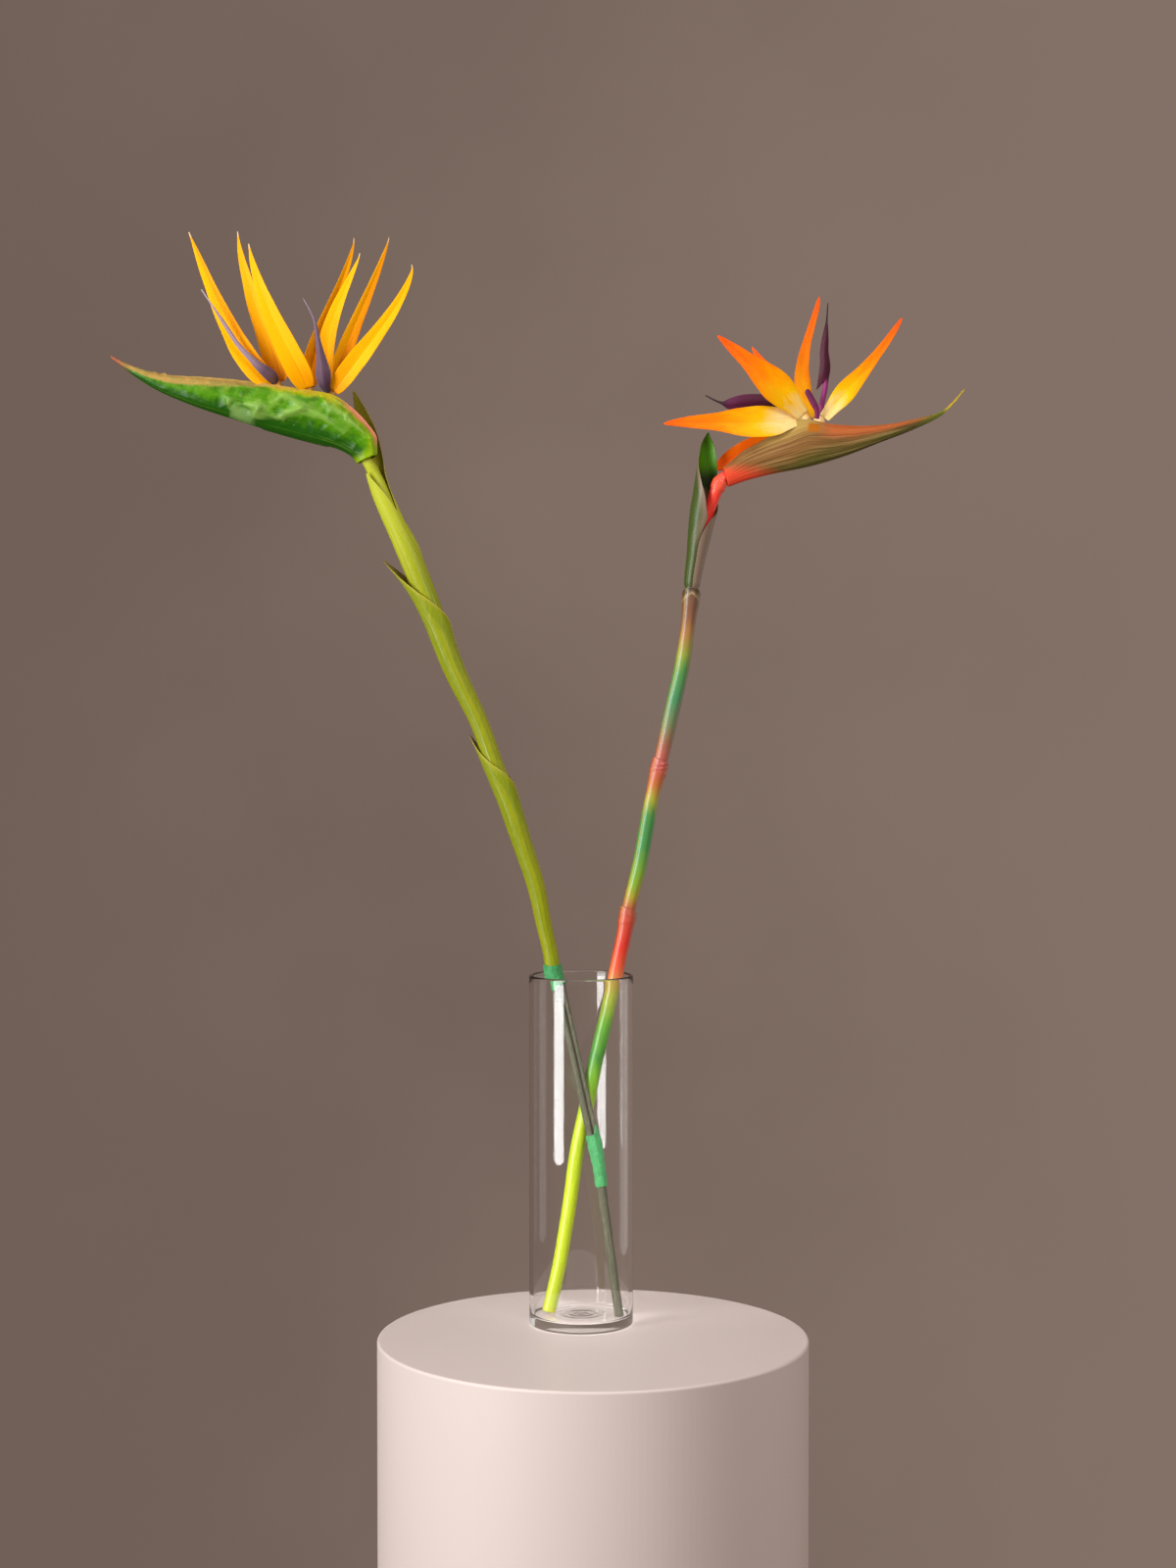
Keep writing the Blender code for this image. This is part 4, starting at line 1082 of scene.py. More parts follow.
def cane_finish(looks):
    """Weathered cane with a groove down one side, painted darker as shade in it."""
    finish = Finish("grey green cane", Specular_IOR_Level=0.4)
    u, _ = finish.chart()
    grain = finish.noise((24, 3.5, 1), 5, 0.65)
    spots = finish.noise((500, 500, 160), 3, on_chart=False)
    groove = 1 - abs(u - 0.8).step(0.0, 0.02)
    return finish.paint(
        Base_Color=finish.layers(
            srgb(68, 68, 50),
            ((grain - 0.42).step(0.0, 0.3), looks.cane),
            ((spots - 0.55).step(0.0, 0.2) * 0.6, srgb(124, 120, 96)),
            # Painted shade along the groove.
            (groove * 0.5, srgb(48, 48, 36)),
        ),
        Roughness=0.55 + (grain - 0.5) * 0.3,
        Normal=finish.bump(grain - groove * 0.6, 0.3, 0.8),
    )


def tape_finish(looks):
    finish = Finish("green floral tape", Sheen_Weight=0.1)
    crepe = finish.noise((900, 900, 2600), 3, 0.6, on_chart=False)
    patches = finish.noise((160, 160, 160), 3, on_chart=False)
    return finish.paint(
        Base_Color=finish.layers(
            looks.tape,
            ((patches - 0.4).step(0.0, 0.3) * 0.6, srgb(34, 118, 66)),
            ((crepe - 0.56).step(0.0, 0.15) * 0.45, srgb(110, 186, 130)),
        ),
        Roughness=0.62 + (crepe - 0.5) * 0.3,
        Normal=finish.bump(crepe, 0.18, 0.8),
    )


def plinth_finish(colour):
    """Painted evenly, with a faint cloud in it."""
    finish = Finish("pale plinth")
    cloud = finish.noise((6, 6, 6), 3, on_chart=False)
    return finish.paint(
        Base_Color=finish.mix(cloud, colour, [c * 0.96 for c in colour]),
        Roughness=0.5 + (cloud - 0.5) * 0.1,
    )


# ---------------------------------------------------------------- pieces


class FLOWERS_OT_vase(bpy.types.Operator):
    """Turn the clear glass cylinder with its thick floor and rounded rim"""

    bl_idname = "flowers.vase"
    bl_label = "Glass Vase"

    def execute(self, context):
        vase = context.scene.flowers_vase
        radius, inner = vase.radius / MM, (vase.radius - vase.wall) / MM
        height, floor = vase.height / MM, vase.floor / MM
        lip, inner_foot = (radius - inner) / 2, inner - VASE_INNER_CORNER
        profile = [
            *VASE_HOLLOW,
            *arc(radius - VASE_CORNER, VASE_CORNER, VASE_CORNER, -90, 0, 6),
            *((radius, height * share) for share in (0.03, *VASE_LEVELS)),
            *arc(radius - lip, height - lip, lip, 0, 180, 12),
            *((inner, height * share) for share in (*reversed(VASE_LEVELS), 0.06)),
            *arc(inner_foot, floor + VASE_INNER_CORNER, VASE_INNER_CORNER, 0, -90, 6),
        ]
        for k in range(1, 26):
            away = inner_foot * (1 - k / 25)
            ripple = VASE_RIPPLE * math.cos(away * 0.9) * math.exp(-away / 11)
            profile.append((away, floor + ripple + VASE_FLOOR_RISE * smooth_step(30, 8, away)))
        builder = bmesh.new()
        verts = [builder.verts.new((x * MM, 0, z * MM)) for x, z in profile]
        edges = [builder.edges.new(pair) for pair in zip(verts, verts[1:])]
        bmesh.ops.spin(
            builder, geom=verts + edges, cent=(0, 0, 0), axis=(0, 0, 1), angle=2 * math.pi, steps=144,
            use_merge=True,
        )
        bmesh.ops.remove_doubles(builder, verts=builder.verts, dist=0.005 * MM)
        piece = finish_piece(builder, "vase_cylinder", glass_finish(vase), "glass_vase")
        piece.visible_shadow = False
        return {"FINISHED"}


def make_sheath(name, spine, azimuth, rows, material, twist=None, flare=None):
    """A leaf base wrapped round a stalk, its mouth slanting up to a free tip at azimuth degrees from +X."""
    shape = Curve(rows)
    low, high = rows[0][0], rows[-1][0]
    starts = Curve([(0, low), (0.012, low + 0.4), (0.45, low + 0.5 * (high - low)), (1, high)])

    def middle(w, v):
        height = starts(v)[0]
        radius, half_angle = shape(height)
        angle = math.radians(azimuth + half_angle * w + (twist(height) if twist else 0))
        centre, _, side, back = spine.frame(round(height, 4))
        ripple = 0.12 * uneven(angle, 1.5, height / 40)
        out = radius + SHEATH_WALL / 2 + ripple + (flare(w, height) if flare else 0)
        return centre + out * (math.cos(angle) * side + math.sin(angle) * back)

    def depth(w, v):
        return SHEATH_WALL / 2 * leaf_depth(w, v, 0.3, 0.006, 0.05)

    builder = blade_skin(*FACES["sheath"], middle, depth)
    finish_piece(builder, name.replace("stalk_sheath", "sheath"), material, name)


class FLOWERS_OT_yellow_stalk(bpy.types.Operator):
    """Grow the yellow flower's stalk and the four leaf sheaths round it"""

    bl_idname = "flowers.yellow_stalk"
    bl_label = "Yellow Flower's Stalk"

    # Each sheath's mouth: height of its lip, how far the tip turns to the back, and from what height.
    MOUTHS = {
        "yellow_stalk_sheath_1": (414, 14, 410), "yellow_stalk_sheath_2": (538, 12, 545),
        "yellow_stalk_sheath_3": (592, 0, 600),
    }

    def execute(self, context):
        looks = context.scene.flowers_yellow
        skin = yellow_stalk_finish(looks, "yellow flower's stalk", 0.0)
        leaf = yellow_stalk_finish(looks, "yellow flower's sheath", 1.0)
        spine = Spine(YELLOW_STALK)

        def radius_at(height, angle):
            ridge = 0.1 * math.cos(7 * angle + height / 60)
            knobs = 0.5 * uneven(angle, 1, height / 9)
            return spine.radius(height) + ridge + knobs * smooth_step(640, 655, height)

        rings = rod_rings(spine.low, spine.high, radius_at)
        builder = tube_skin(*FACES["yellow stalk"], spine, rings)
        finish_piece(builder, "yellow_stalk_core", skin, "yellow_flower_stalk")
        for name, (azimuth, rows) in YELLOW_SHEATHS.items():
            self.wrap_sheath(name, spine, azimuth, rows, leaf, *self.MOUTHS[name])
        azimuth, rows = YELLOW_TOP_SHEATH
        make_sheath(
            "yellow_stalk_sheath_4", Spine(YELLOW_TOP_SHEATH_AXIS), azimuth, rows, leaf)
        return {"FINISHED"}

    def wrap_sheath(self, name, spine, azimuth, rows, material, lip_height, turned, from_height):
        """A sheath whose mouth stands off the stalk at its lip and turns to the back above it."""
        def lip(w, height):
            return 1.5 * smooth_step(0.7, 1, abs(w)) * bell(height - lip_height, 11)

        def twist(height):
            return -turned * smooth_step(from_height, from_height + 36, height)

        make_sheath(name, spine, azimuth, rows, material, twist, lip)


def joint_rise(height, angle):
    """How far the slanted ridges round the stem's joints stand out."""
    return sum(
        amount * bell(height - level - slant * math.cos(angle - math.radians(towards)), breadth)
        for level, slant, towards, amount, breadth in STEM_JOINTS
    )


class FLOWERS_OT_orange_stalk(bpy.types.Operator):
    """Grow the orange flower's jointed stem, its bent neck and its open top sheath"""

    bl_idname = "flowers.orange_stalk"
    bl_label = "Orange Flower's Stalk"

    def execute(self, context):
        looks = context.scene.flowers_orange
        spine = Spine(ORANGE_STALK)

        def radius_at(height, angle):
            slant = 0.6 * math.cos(angle - 0.5)
            groove = sum(0.35 * bell(height - level - slant, 0.5) for level in (641.2, 649.6))
            folds = 0.18 * uneven(angle, 2, height / 3)
            return spine.radius(height) - groove + folds * smooth_step(628, 640, height)

        rings = rod_rings(spine.low, spine.high, radius_at, 0.003)
        builder = tube_skin(*FACES["orange stalk"], spine, rings)
        finish_piece(
            builder, "orange_stalk_core", neck_finish(looks), "orange_flower_stalk")

        stem = stem_finish()
        for name, rows in ORANGE_TUBES.items():
            self.make_sleeve(name, spine, rows, stem)
        azimuth, rows = ORANGE_TOP_SHEATH
        make_sheath(
            "orange_stalk_sheath_4", Spine(ORANGE_TOP_SHEATH_AXIS), azimuth, rows,
            top_sheath_finish(looks), self.seam_twist)
        return {"FINISHED"}

    def seam_twist(self, height):
        """How far the top sheath's seam winds round it, in degrees."""
        return -62 * smooth_step(640, 596, height) - 36 * smooth_step(638, 670, height)

    def make_sleeve(self, name, spine, rows, material):
        """A sleeve round the stem, ringed at its joints, its upper end cut at a slant."""
        shape = Curve(rows)
        drop, towards = SLEEVE_SLANT.get(name, PLAIN_SLEEVE_SLANT)

        def outer(height, angle):
            ripple = 0.12 * uneven(angle, 1.5, height / 30)
            return shape(height)[0] + SHEATH_WALL + ripple + joint_rise(height, angle)

        rings = sleeve_rings(
            low=lambda angle: rows[0][0],
            high=lambda angle: rows[-1][0] - drop + drop * math.cos(angle - math.radians(towards)),
            outer=outer,
            inner=lambda height, angle: shape(height)[0],
            foot=0.008, mouth=0.93, lip=0.96,
        )
        builder = tube_skin(*FACES["stem sleeve"], spine, rings)
        finish_piece(builder, name.replace("stalk_sheath", "sheath"), material, name)


def fold_rise(x, z):
    """How far the creased folds stand out at a place seen from the side."""
    rise = 0
    for corners, amount, breadth in FOLDS:
        nearest, share = 1e9, 0
        for k, (a, b) in enumerate(zip(corners, corners[1:])):
            length = (b[0] - a[0]) ** 2 + (b[1] - a[1]) ** 2
            t = clamp(((x - a[0]) * (b[0] - a[0]) + (z - a[1]) * (b[1] - a[1])) / length)
            away = math.hypot(x - a[0] - t * (b[0] - a[0]), z - a[1] - t * (b[1] - a[1]))
            if away < nearest:
                nearest, share = away, (k + t) / (len(corners) - 1)
        fade = 0.4 + 1.2 * math.sin(math.pi * clamp(share, 0.1, 0.9))
        rise += amount * math.exp(-nearest / breadth) * fade
    return rise


def make_spathe(node, rows, relief, ragged, material):
    """A folded boat of a leaf: relief(w, v, x, z) lifts its skin, ragged(w, v) lifts its margin."""
    count = len(rows) - 1
    along = Curve([(k / count, *row) for k, row in enumerate(rows)])
    half = Curve([*SPATHE_HALF, (1, 1, 0.5)])
    lifts = {}

    def half_wall(half_width):
        return min(SPATHE_WALL, 0.35 * half_width) / 2

    def middle(w, v):
        keel_x, keel_z, top_x, top_z, half_width, slot_width = along(v)
        share, width = half(abs(w))
        keel = Vector((keel_x, HEAD_Y, keel_z))
        up = Vector((top_x, HEAD_Y, top_z)) - keel
        wide = half_width * width
        if abs(w) > 0.8:
            wide += (max(slot_width, 0.5) + 0.6 - wide) * smooth_step(0.8, 1, abs(w))
        point = keel + up * (share + ragged(w, v) * smooth_step(0.85, 1, abs(w)))
        sideways = Vector((0, -math.copysign(1, w), 0)) * smooth_step(0, 0.2, abs(w))
        out = sideways - up.normalized() * (1 - smooth_step(0, 0.5, abs(w)))
        point -= Vector((0, math.copysign(max(wide - half_wall(half_width), 0), w), 0))
        lifts[w, v] = relief(w, v, point.x, point.z)
        return point + out.normalized() * lifts[w, v]

    def depth(w, v):
        return half_wall(along(v)[4]) * leaf_depth(w, v, 0.3, 0.01, 0.02)

    builder = blade_skin(*FACES["spathe"], middle, depth, lambda w, v: lifts[w, v])
    finish_piece(builder, f"{node}_leaf", material, node)


class FLOWERS_OT_spathes(bpy.types.Operator):
    """Fold the two boat-shaped spathes that the florets rise from"""

    bl_idname = "flowers.spathes"
    bl_label = "Spathes"

    def execute(self, context):
        make_spathe(
            "yellow_spathe", YELLOW_SPATHE, self.crumple, self.frayed,
            yellow_spathe_finish(context.scene.flowers_yellow))
        make_spathe(
            "orange_spathe", ORANGE_SPATHE, self.striated, self.overlap,
            orange_spathe_finish(context.scene.flowers_orange))
        return {"FINISHED"}

    def crumple(self, w, v, x, z):
        """Creased folds on both sides of the yellow flower's spathe."""
        side = math.copysign(1, w)
        upper = smooth_step(0.1, 0.45, abs(w)) * (1 - smooth_step(0.93, 1, abs(w)))
        ends = smooth_step(0.0, 0.08, v) * smooth_step(0.98, 0.8, v)
        shift = 0 if side > 0 else 14
        place = Vector(((x + shift) / 15, side * 3, z / 11))
        nearest, second = noise.voronoi(place)[0][:2]
        facets = 2.4 * min(second - nearest, 0.45)
        soft = noise.noise(place * 0.6) * 1.2
        folds = fold_rise(x + shift * 0.7, z)
        return upper * ends * (soft + 1.2 * folds - facets) + 0.12 * math.sin(60 * v) * upper

    def frayed(self, w, v):
        """The dried margin is uneven, most of all towards the tip."""
        torn = noise.noise(Vector((v * 45, w, 0))) * 0.02 + noise.noise(Vector((v * 160, w, 3))) * 0.012
        tufts = 0.12 * bell(v - 0.825, 0.006) + 0.07 * bell(v - 0.85, 0.008)
        return (torn * smooth_step(0.45, 0.7, v) + tufts) * (1 if w > 0 else 0.6)

    def striated(self, w, v, _x, _z):
        """Fine ribs along the orange flower's spathe."""
        ribs = 0.12 * math.sin(w * 60 + 3 * noise.noise(Vector((w * 4, v * 3, 1))))
        swell = 0.35 * noise.noise(Vector((w * 3, v * 7, 5)))
        return (ribs + swell) * smooth_step(0.98, 0.8, v) * smooth_step(0.0, 0.06, v)

    def overlap(self, w, v):
        """The hump where the margins overlap."""
        return 0.16 * bell(v - 0.345, 0.05) * (1 if w > 0 else 0.3)


class FLOWERS_OT_florets(bpy.types.Operator):
    """Raise the short floret tubes with the knobs that carry sepals and petals"""

    bl_idname = "flowers.florets"
    bl_label = "Florets"

    def execute(self, context):
        finishes = {
            "yellow": floret_finish("yellow flower's floret", srgb(206, 150, 40), srgb(150, 90, 30)),
            "orange": floret_finish("orange flower's floret", srgb(255, 226, 170), srgb(246, 190, 96)),
        }
        for name, (foot, knob, knob_radius) in FLORETS.items():
            colour = name.split("_")[0]
            builder = self.knobbed_tube(Vector(foot), Vector(knob), knob_radius)
            piece_name = name.replace("floret", "floret_tube")
            finish_piece(builder, piece_name, finishes[colour], name)
        return {"FINISHED"}

    def knobbed_tube(self, foot, knob, knob_radius):
        """A tube from the foot up to a ball with three faint lobes."""
        spine = Spine([(*foot, FLORET_RADIUS), (*knob, knob_radius)])
        along = (knob - foot).normalized()

        def radius_at(height, angle):
            away = (height - knob.z) / along.z
            ball = math.sqrt(max(knob_radius ** 2 - away ** 2, 0.01))
            return max(ball, FLORET_RADIUS) if away < 0 else ball * (1 + 0.06 * math.cos(3 * angle))

        rings = rod_rings(foot.z, knob.z + knob_radius * along.z, radius_at, 0.02)
        return tube_skin(*FACES["floret"], spine, rings)


def root_of(floret, direction):
    _, knob, radius = FLORETS[floret]
    return Vector(knob) + (radius + KNOB_GAP) * Vector(direction).normalized()


def blade_frame(before, after, roll):
    """Direction along a blade, across it and out of its face; unrolled, the face looks towards -Y."""
    along = (after - before).normalized()
    face = square_to(along, -Y_AXIS)
    across = along.cross(face)
    angle = math.radians(roll)
    rolled_face = math.cos(angle) * face + math.sin(angle) * across
    return along, along.cross(rolled_face), rolled_face


def bezier(points, t):
    a, b, c, d = points
    s = 1 - t
    return s * s * s * a + 3 * s * s * t * b + 3 * s * t * t * c + t * t * t * d


def make_sepal(name, outline_rows, material):
    """A lance-shaped blade folded along its keel, with wavy margins."""
    floret, direction, near, far, tip, width, roll, fold, hook = SEPALS[name]
    root, near, far, tip = root_of(floret, direction), Vector(near), Vector(far), Vector(tip)
    guide_1 = (18 * near - 9 * far + 2 * tip - 5 * root) / 6
    guide_2 = (18 * far - 9 * near + 2 * root - 5 * tip) / 6
    points = (root, guide_1, guide_2, tip)
    outline = Curve(outline_rows)
    seed = sum(name.encode()) % 97
    hook = Vector(hook)

    def half_width(v):
        return 0.5 * width * outline(v)[0]

    def middle(w, v):
        centre = bezier(points, v) + hook * smooth_step(0.93, 1.06, v) ** 1.5
        _, across, face = blade_frame(bezier(points, v - 0.01), bezier(points, v + 0.01), roll)
        half = half_width(v)
        wave = noise.noise(Vector((w * 0.7, v * 7, seed)))
        fold_angle = math.radians(fold * (1 - 0.3 * abs(w)))
        keel = math.sqrt(w * w + 0.0025) - 0.05
        flat = half * (1 + 0.05 * wave) * w
        rise = half * math.tan(fold_angle) * keel + SEPAL_CURL * half * w * w * math.sin(math.pi * v)
        rise += 0.5 * wave * abs(w) ** 3 * min(half / 4, 1)
        return centre + flat * across + rise * face

    def depth(w, v):
        taper = min(1, 0.3 + half_width(v) / 4)
        body = SEPAL_THICKNESS / 2 * taper * (1 - 0.45 * abs(w))
        return body * leaf_depth(w, v, 0.4, 0.02, 0.012)

    builder = blade_skin(*FACES["sepal"], middle, depth)
    finish_piece(builder, name.replace("sepal", "sepal_blade"), material, name)


class FLOWERS_OT_yellow_sepals(bpy.types.Operator):
    """Grow the seven yellow sepals, keeled and drawn out to dry tips"""

    bl_idname = "flowers.yellow_sepals"
    bl_label = "Yellow Sepals"

    # How much painted shade deepens each sepal's left and right half.
    SHADES = {
        1: (0.0, 0.5), 2: (0.25, 0.25), 3: (0.0, 0.1), 4: (0.4, 0.3), 5: (0.05, 0.1), 6: (0.1, 0.65),
        7: (0.15, 0.05),
    }

    def execute(self, context):
        looks = context.scene.flowers_yellow
        for k, (left, right) in self.SHADES.items():
            material = yellow_sepal_finish(looks, f"yellow sepal {k}", left, right)
            make_sepal(f"yellow_sepal_{k}", YELLOW_OUTLINE, material)
        return {"FINISHED"}


class FLOWERS_OT_orange_sepals(bpy.types.Operator):
    """Grow the six orange sepals, cream at the root and red at the tip"""

    bl_idname = "flowers.orange_sepals"
    bl_label = "Orange Sepals"

    # Each sepal's own range of the colours from cream, 0, to red, 1.
    RANGES = {
        1: (0.0, 0.98), 2: (0.16, 1.02), 3: (0.85, 1.3), 4: (0.55, 0.95), 5: (0.35, 1.0),
        6: (0.1, 1.02),
    }

    def execute(self, context):
        looks = context.scene.flowers_orange
        for k, (start, end) in self.RANGES.items():
            material = orange_sepal_finish(looks, f"orange sepal {k}", start, end)
            outline = ORANGE_OUTLINES.get(k, SPREAD_OUTLINE)
            make_sepal(f"orange_sepal_{k}", outline, material)
        return {"FINISHED"}


def make_arrow(name, material):
    """A petal on a thin stalk: a blade that may sweep back into a barb, drawn out into a thread."""
    floret, direction, further, rows = ARROWS[name]
    points = [tuple(root_of(floret, direction))] + further
    shape = Curve(rows)

    def middle(w, v):
        centre = curve_point(points, v)
        before, after = curve_point(points, v - 0.015), curve_point(points, v + 0.015)
        along, across, face = blade_frame(before, after, 0)
        left, right, sweep = shape(v)
        half = left if w < 0 else right
        keel = 0.32 * min(left, right) * (1 - math.sqrt(w * w + 0.01))
        return centre + w * half * across + min(w, 0) * sweep * along + keel * face

    def depth(w, v):
        half = min(shape(v)[:2])
        body = min(ARROW_THICKNESS / 2, half * 0.9) * (1 - 0.72 * abs(w) * min(half / 3, 1))
        return body * leaf_depth(w, v, 0.5, 0.01, 0.01)

    builder = blade_skin(*FACES["arrow petal"], middle, depth)
    finish_piece(builder, name.replace("petal", "blade"), material, name)


class FLOWERS_OT_arrow_petals(bpy.types.Operator):
    """Grow the violet and plum arrow petals"""

    bl_idname = "flowers.arrow_petals"
    bl_label = "Arrow Petals"

    def execute(self, context):
        yellow, orange = context.scene.flowers_yellow, context.scene.flowers_orange
        violet, lilac = yellow.petal, yellow.petal_edge
        plum, magenta, black = orange.petal, orange.petal_stalk, srgb(44, 22, 30)
        stops = {
            "yellow_arrow_petal_1": [
                (0, srgb(62, 42, 52)), (0.14, srgb(92, 60, 56)), (0.28, violet), (0.38, srgb(120, 96, 108)),
                (0.5, lilac), (0.85, lilac), (1, srgb(184, 172, 180))],
            "yellow_arrow_petal_2": [
                (0, srgb(54, 38, 58)), (0.3, violet), (0.5, srgb(96, 72, 88)), (0.75, srgb(108, 88, 106)),
                (1, lilac)],
            "orange_arrow_petal_1": [
                (0, black), (0.38, black), (0.46, plum), (0.74, srgb(96, 34, 70)), (0.82, black),
                (1, srgb(52, 40, 40))],
            "orange_arrow_petal_2": [
                (0, magenta), (0.36, magenta), (0.42, plum), (0.75, plum), (0.84, black), (1, black)],
            "orange_short_petal": [(0, magenta), (0.4, srgb(118, 40, 86)), (1, srgb(104, 34, 78))],
        }
        for name, ramp in stops.items():
            colour = name.split("_")[0]
            lit = lilac if colour == "yellow" else srgb(112, 40, 72)
            make_arrow(name, arrow_finish(name.replace("_", " "), ramp, lit))
        return {"FINISHED"}


def make_rod(name, start, end, radius, material, taper=0.0):
    """A cane rod, slightly uneven, with softened ends."""
    spine = Spine([(*start, radius * (1 - taper)), (*end, radius)])

    def radius_at(height, angle):
        flats = 0.05 * radius * math.cos(6 * angle)
        return spine.radius(height) + 0.12 * uneven(angle, 2, height / 18) + flats

    builder = tube_skin(*FACES["rod"], spine, rod_rings(spine.low, spine.high, radius_at, 0.012))
    finish_piece(builder, name, material, f"splint_{name}")


class FLOWERS_OT_splint(bpy.types.Operator):
    """Set the stake and the two thin rods that carry the yellow flower's stalk"""

    bl_idname = "flowers.splint"
    bl_label = "Splint"

    def execute(self, context):
        cane = cane_finish(context.scene.flowers_splint)
        make_rod("stake", *STAKE, cane, 0.1)
        make_rod("thick_rod", *THICK_ROD, cane)
        low, high = (Vector(end) for end in THICK_ROD[:2])
        along = (high - low).normalized()
        shift = square_to(along, Y_AXIS).cross(along) * THIN_ROD_SIDE
        start = low + shift + along * THIN_ROD_RAISE
        make_rod("thin_rod", start, high + shift, THIN_ROD_RADIUS, cane)
        return {"FINISHED"}


class FLOWERS_OT_tapes(bpy.types.Operator):
    """Wind the two green floral tapes round the splint's joints"""

    bl_idname = "flowers.tapes"
    bl_label = "Floral Tapes"

    def execute(self, context):
        material = tape_finish(context.scene.flowers_splint)
        self.wind("stalk_tape", STALK_TAPE, 205, 1.8, material)
        self.wind("splice_tape", SPLICE_TAPE, 318, 7.0, material)
        return {"FINISHED"}

    def wind(self, name, rows, spike_azimuth, spike, material):
        """A sleeve of wound tape: stepped turns, crumpled skin, and a pointed end left standing."""
        spine = Spine(rows)
        low, high = spine.low, spine.high

        def outer(height, angle):
            turn = (height - low) / TAPE_TURN - angle / (2 * math.pi)
            step = TAPE_STEP * (turn - math.floor(turn))
            return inner(height, angle) + TAPE_WALL + step + 0.4 * uneven(angle, 3, height / 5)

        def inner(height, angle):
            return spine.radius(clamp(height, low, high))

        def top(angle):
            away = (math.degrees(angle) - spike_azimuth + 180) % 360 - 180
            return high - 1.5 + spike * bell(away, 22) + 0.5 * uneven(angle, 4, 7)

        def bottom(angle):
            return low + 0.6 * uneven(angle, 3, 11)

        rings = sleeve_rings(bottom, top, outer, inner, 0.02, 0.8, 0.84)
        builder = tube_skin(*FACES["tape"], spine, rings)
        finish_piece(builder, name.replace("tape", "tape_wrap"), material, name)


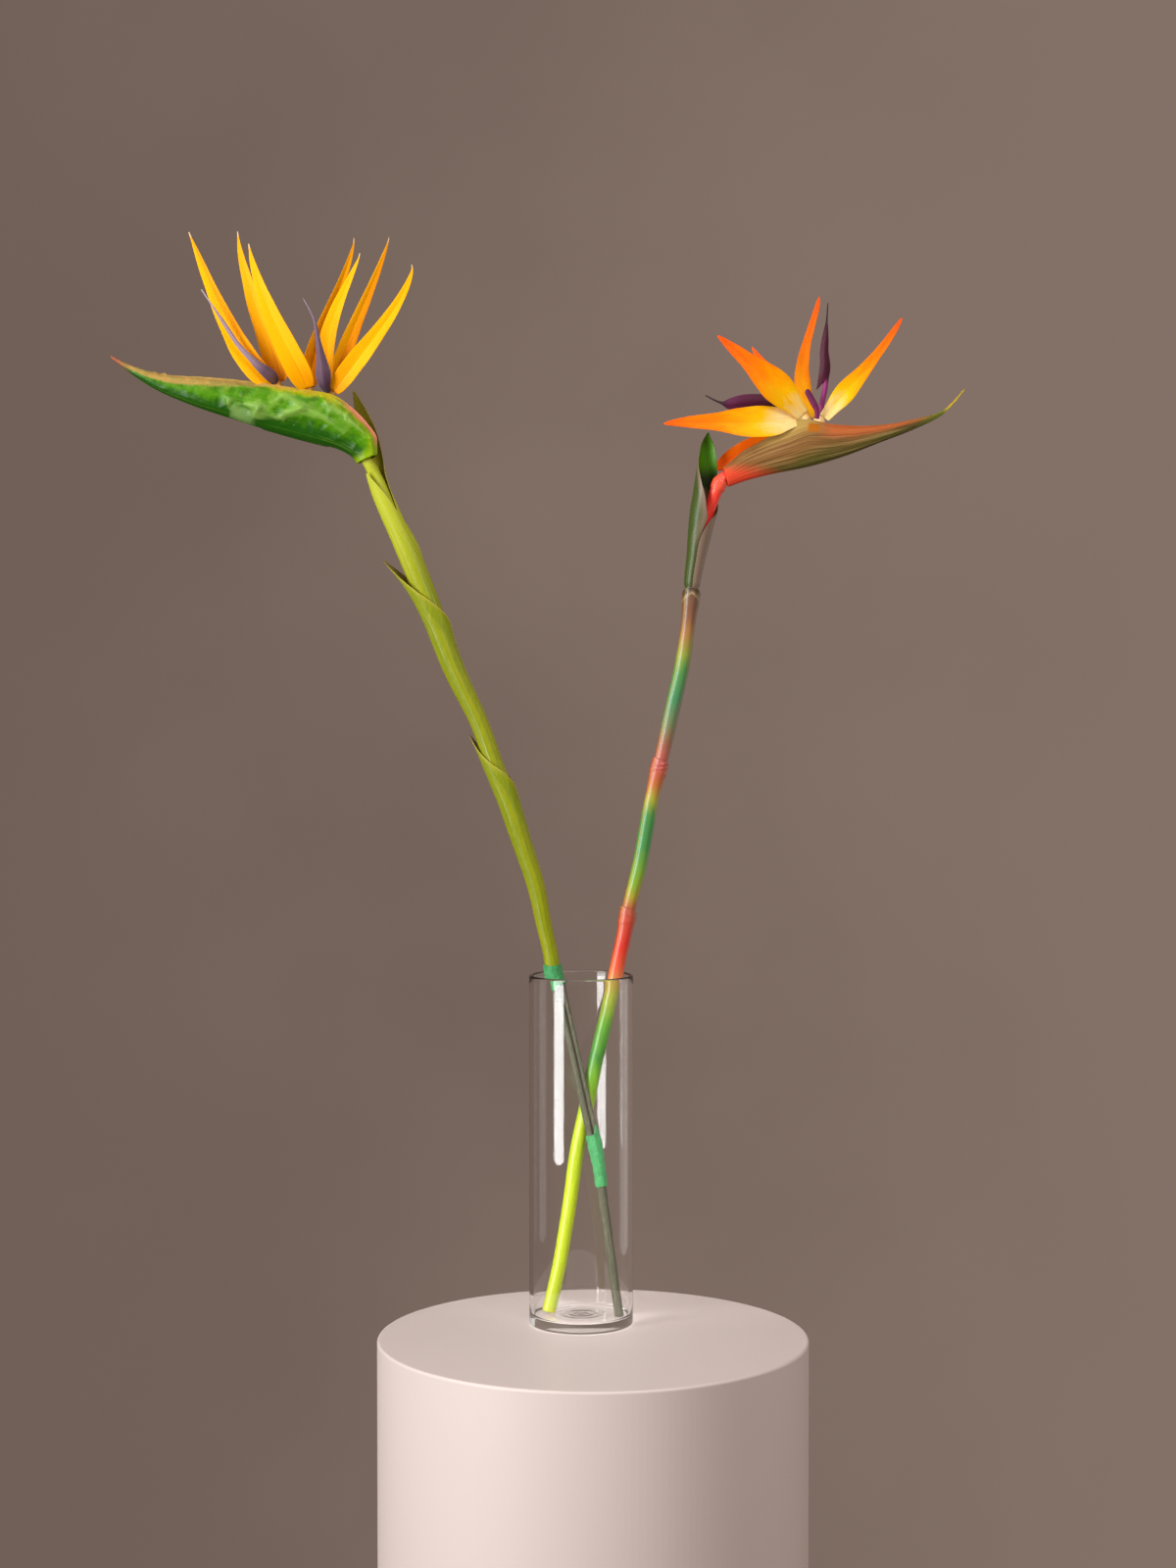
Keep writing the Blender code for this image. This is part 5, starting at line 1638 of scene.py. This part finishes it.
class FLOWERS_OT_stage(bpy.types.Operator):
    """Set the plinth, the backdrop's colour, the lights and the camera"""

    bl_idname = "flowers.stage"
    bl_label = "Stage"

    def execute(self, context):
        stage = context.scene.flowers_stage
        builder = bmesh.new()
        bmesh.ops.create_circle(builder, cap_ends=True, segments=192, radius=stage.plinth_radius)
        rim = list(builder.edges)
        grown = bmesh.ops.extrude_face_region(builder, geom=list(builder.faces) + rim)
        foot = [item for item in grown["geom"] if isinstance(item, bmesh.types.BMVert)]
        bmesh.ops.translate(builder, verts=foot, vec=(0, 0, -stage.plinth_height))
        bmesh.ops.bevel(
            builder, geom=rim, offset=2 * MM, affect="EDGES", segments=4, profile=0.5, material=-1)
        bmesh.ops.translate(builder, verts=builder.verts, vec=PLINTH_PLACE)
        bmesh.ops.recalc_face_normals(builder, faces=builder.faces)
        mesh = bpy.data.meshes.new("plinth")
        builder.to_mesh(mesh)
        builder.free()
        mesh.materials.append(plinth_finish(stage.plinth))
        plinth = bpy.data.objects.new("plinth", mesh)
        context.scene.collection.objects.link(plinth)

        context.scene.world = self.make_backdrop(stage)
        context.scene.view_settings.view_transform = "Standard"

        for name, placing in LIGHTS.items():
            self.add_light(name, getattr(stage, f"{name}_power"), *placing)

        lens = bpy.data.cameras.new("camera")
        lens.lens = CAMERA_LENS
        lens.sensor_width = CAMERA_SENSOR
        camera = bpy.data.objects.new("camera", lens)
        camera.location = CAMERA_PLACE
        camera.rotation_euler = (math.radians(90 - CAMERA_DIP), 0, 0)
        context.scene.collection.objects.link(camera)
        context.scene.camera = camera
        return {"FINISHED"}

    def make_backdrop(self, stage):
        """One colour to the left going over into another to the right, all round."""
        world = bpy.data.worlds.new("soft backdrop")
        world.use_nodes = True
        tree = world.node_tree
        direction, parts, shift, cloud, drift, ramp = (tree.nodes.new(f"ShaderNode{kind}") for kind in (
            "TexCoord", "SeparateXYZ", "Math", "TexNoise", "Math", "ValToRGB"))
        shift.inputs[1].default_value = 0.5
        cloud.inputs["Scale"].default_value = 5
        cloud.inputs["Detail"].default_value = 5
        drift.operation = "MULTIPLY_ADD"
        drift.inputs[1].default_value = 0.5
        ramp.color_ramp.interpolation = "EASE"
        first, last = ramp.color_ramp.elements
        first.position, first.color = 0.5, (*stage.backdrop_left, 1)
        last.position, last.color = 0.96, (*stage.backdrop, 1)
        tree.links.new(direction.outputs["Generated"], parts.inputs[0])
        tree.links.new(parts.outputs[0], shift.inputs[0])
        tree.links.new(direction.outputs["Generated"], cloud.inputs["Vector"])
        tree.links.new(cloud.outputs[0], drift.inputs[0])
        tree.links.new(shift.outputs[0], drift.inputs[2])
        tree.links.new(drift.outputs[0], ramp.inputs[0])
        tree.links.new(ramp.outputs[0], tree.nodes["Background"].inputs["Color"])
        return world

    def add_light(self, name, power, size, azimuth, away, height):
        """A soft box turned towards the flowers."""
        light = bpy.data.lights.new(name, "AREA")
        light.shape = "RECTANGLE"
        light.size, light.size_y = size
        light.energy = power
        lamp = bpy.data.objects.new(name, light)
        turn = math.radians(azimuth)
        lamp.location = (-away * math.sin(turn), -away * math.cos(turn), height)
        lamp.rotation_euler = (LIGHT_AIM - lamp.location).to_track_quat("-Z", "Y").to_euler()
        lamp.visible_camera = False
        bpy.context.scene.collection.objects.link(lamp)


PIECES = (
    FLOWERS_OT_vase, FLOWERS_OT_yellow_stalk, FLOWERS_OT_orange_stalk, FLOWERS_OT_spathes,
    FLOWERS_OT_florets, FLOWERS_OT_yellow_sepals, FLOWERS_OT_orange_sepals, FLOWERS_OT_arrow_petals,
    FLOWERS_OT_splint, FLOWERS_OT_tapes, FLOWERS_OT_stage,
)
SETTINGS = {
    "flowers_vase": VaseSettings,
    "flowers_yellow": YellowFlowerSettings,
    "flowers_orange": OrangeFlowerSettings,
    "flowers_splint": SplintSettings,
    "flowers_stage": StageSettings,
}


class FLOWERS_PT_panel(bpy.types.Panel):
    """Buttons for every piece, in the order they are made"""

    bl_idname = "FLOWERS_PT_panel"
    bl_label = "Bird of Paradise Flowers"
    bl_space_type = "VIEW_3D"
    bl_region_type = "UI"
    bl_category = "Flowers"

    def draw(self, context):
        for piece in PIECES:
            self.layout.operator(piece.bl_idname)


def register():
    for settings in SETTINGS.values():
        bpy.utils.register_class(settings)
    for name, settings in SETTINGS.items():
        setattr(bpy.types.Scene, name, PointerProperty(type=settings))
    for piece in PIECES:
        bpy.utils.register_class(piece)
    bpy.utils.register_class(FLOWERS_PT_panel)


def unregister():
    bpy.utils.unregister_class(FLOWERS_PT_panel)
    for piece in reversed(PIECES):
        bpy.utils.unregister_class(piece)
    for name, settings in SETTINGS.items():
        delattr(bpy.types.Scene, name)
        bpy.utils.unregister_class(settings)


def main():
    register()
    bpy.ops.flowers.vase()
    bpy.ops.flowers.yellow_stalk()
    bpy.ops.flowers.orange_stalk()
    bpy.ops.flowers.spathes()
    bpy.ops.flowers.florets()
    bpy.ops.flowers.yellow_sepals()
    bpy.ops.flowers.orange_sepals()
    bpy.ops.flowers.arrow_petals()
    bpy.ops.flowers.splint()
    bpy.ops.flowers.tapes()
    bpy.ops.flowers.stage()


if __name__ == "__main__":
    main()
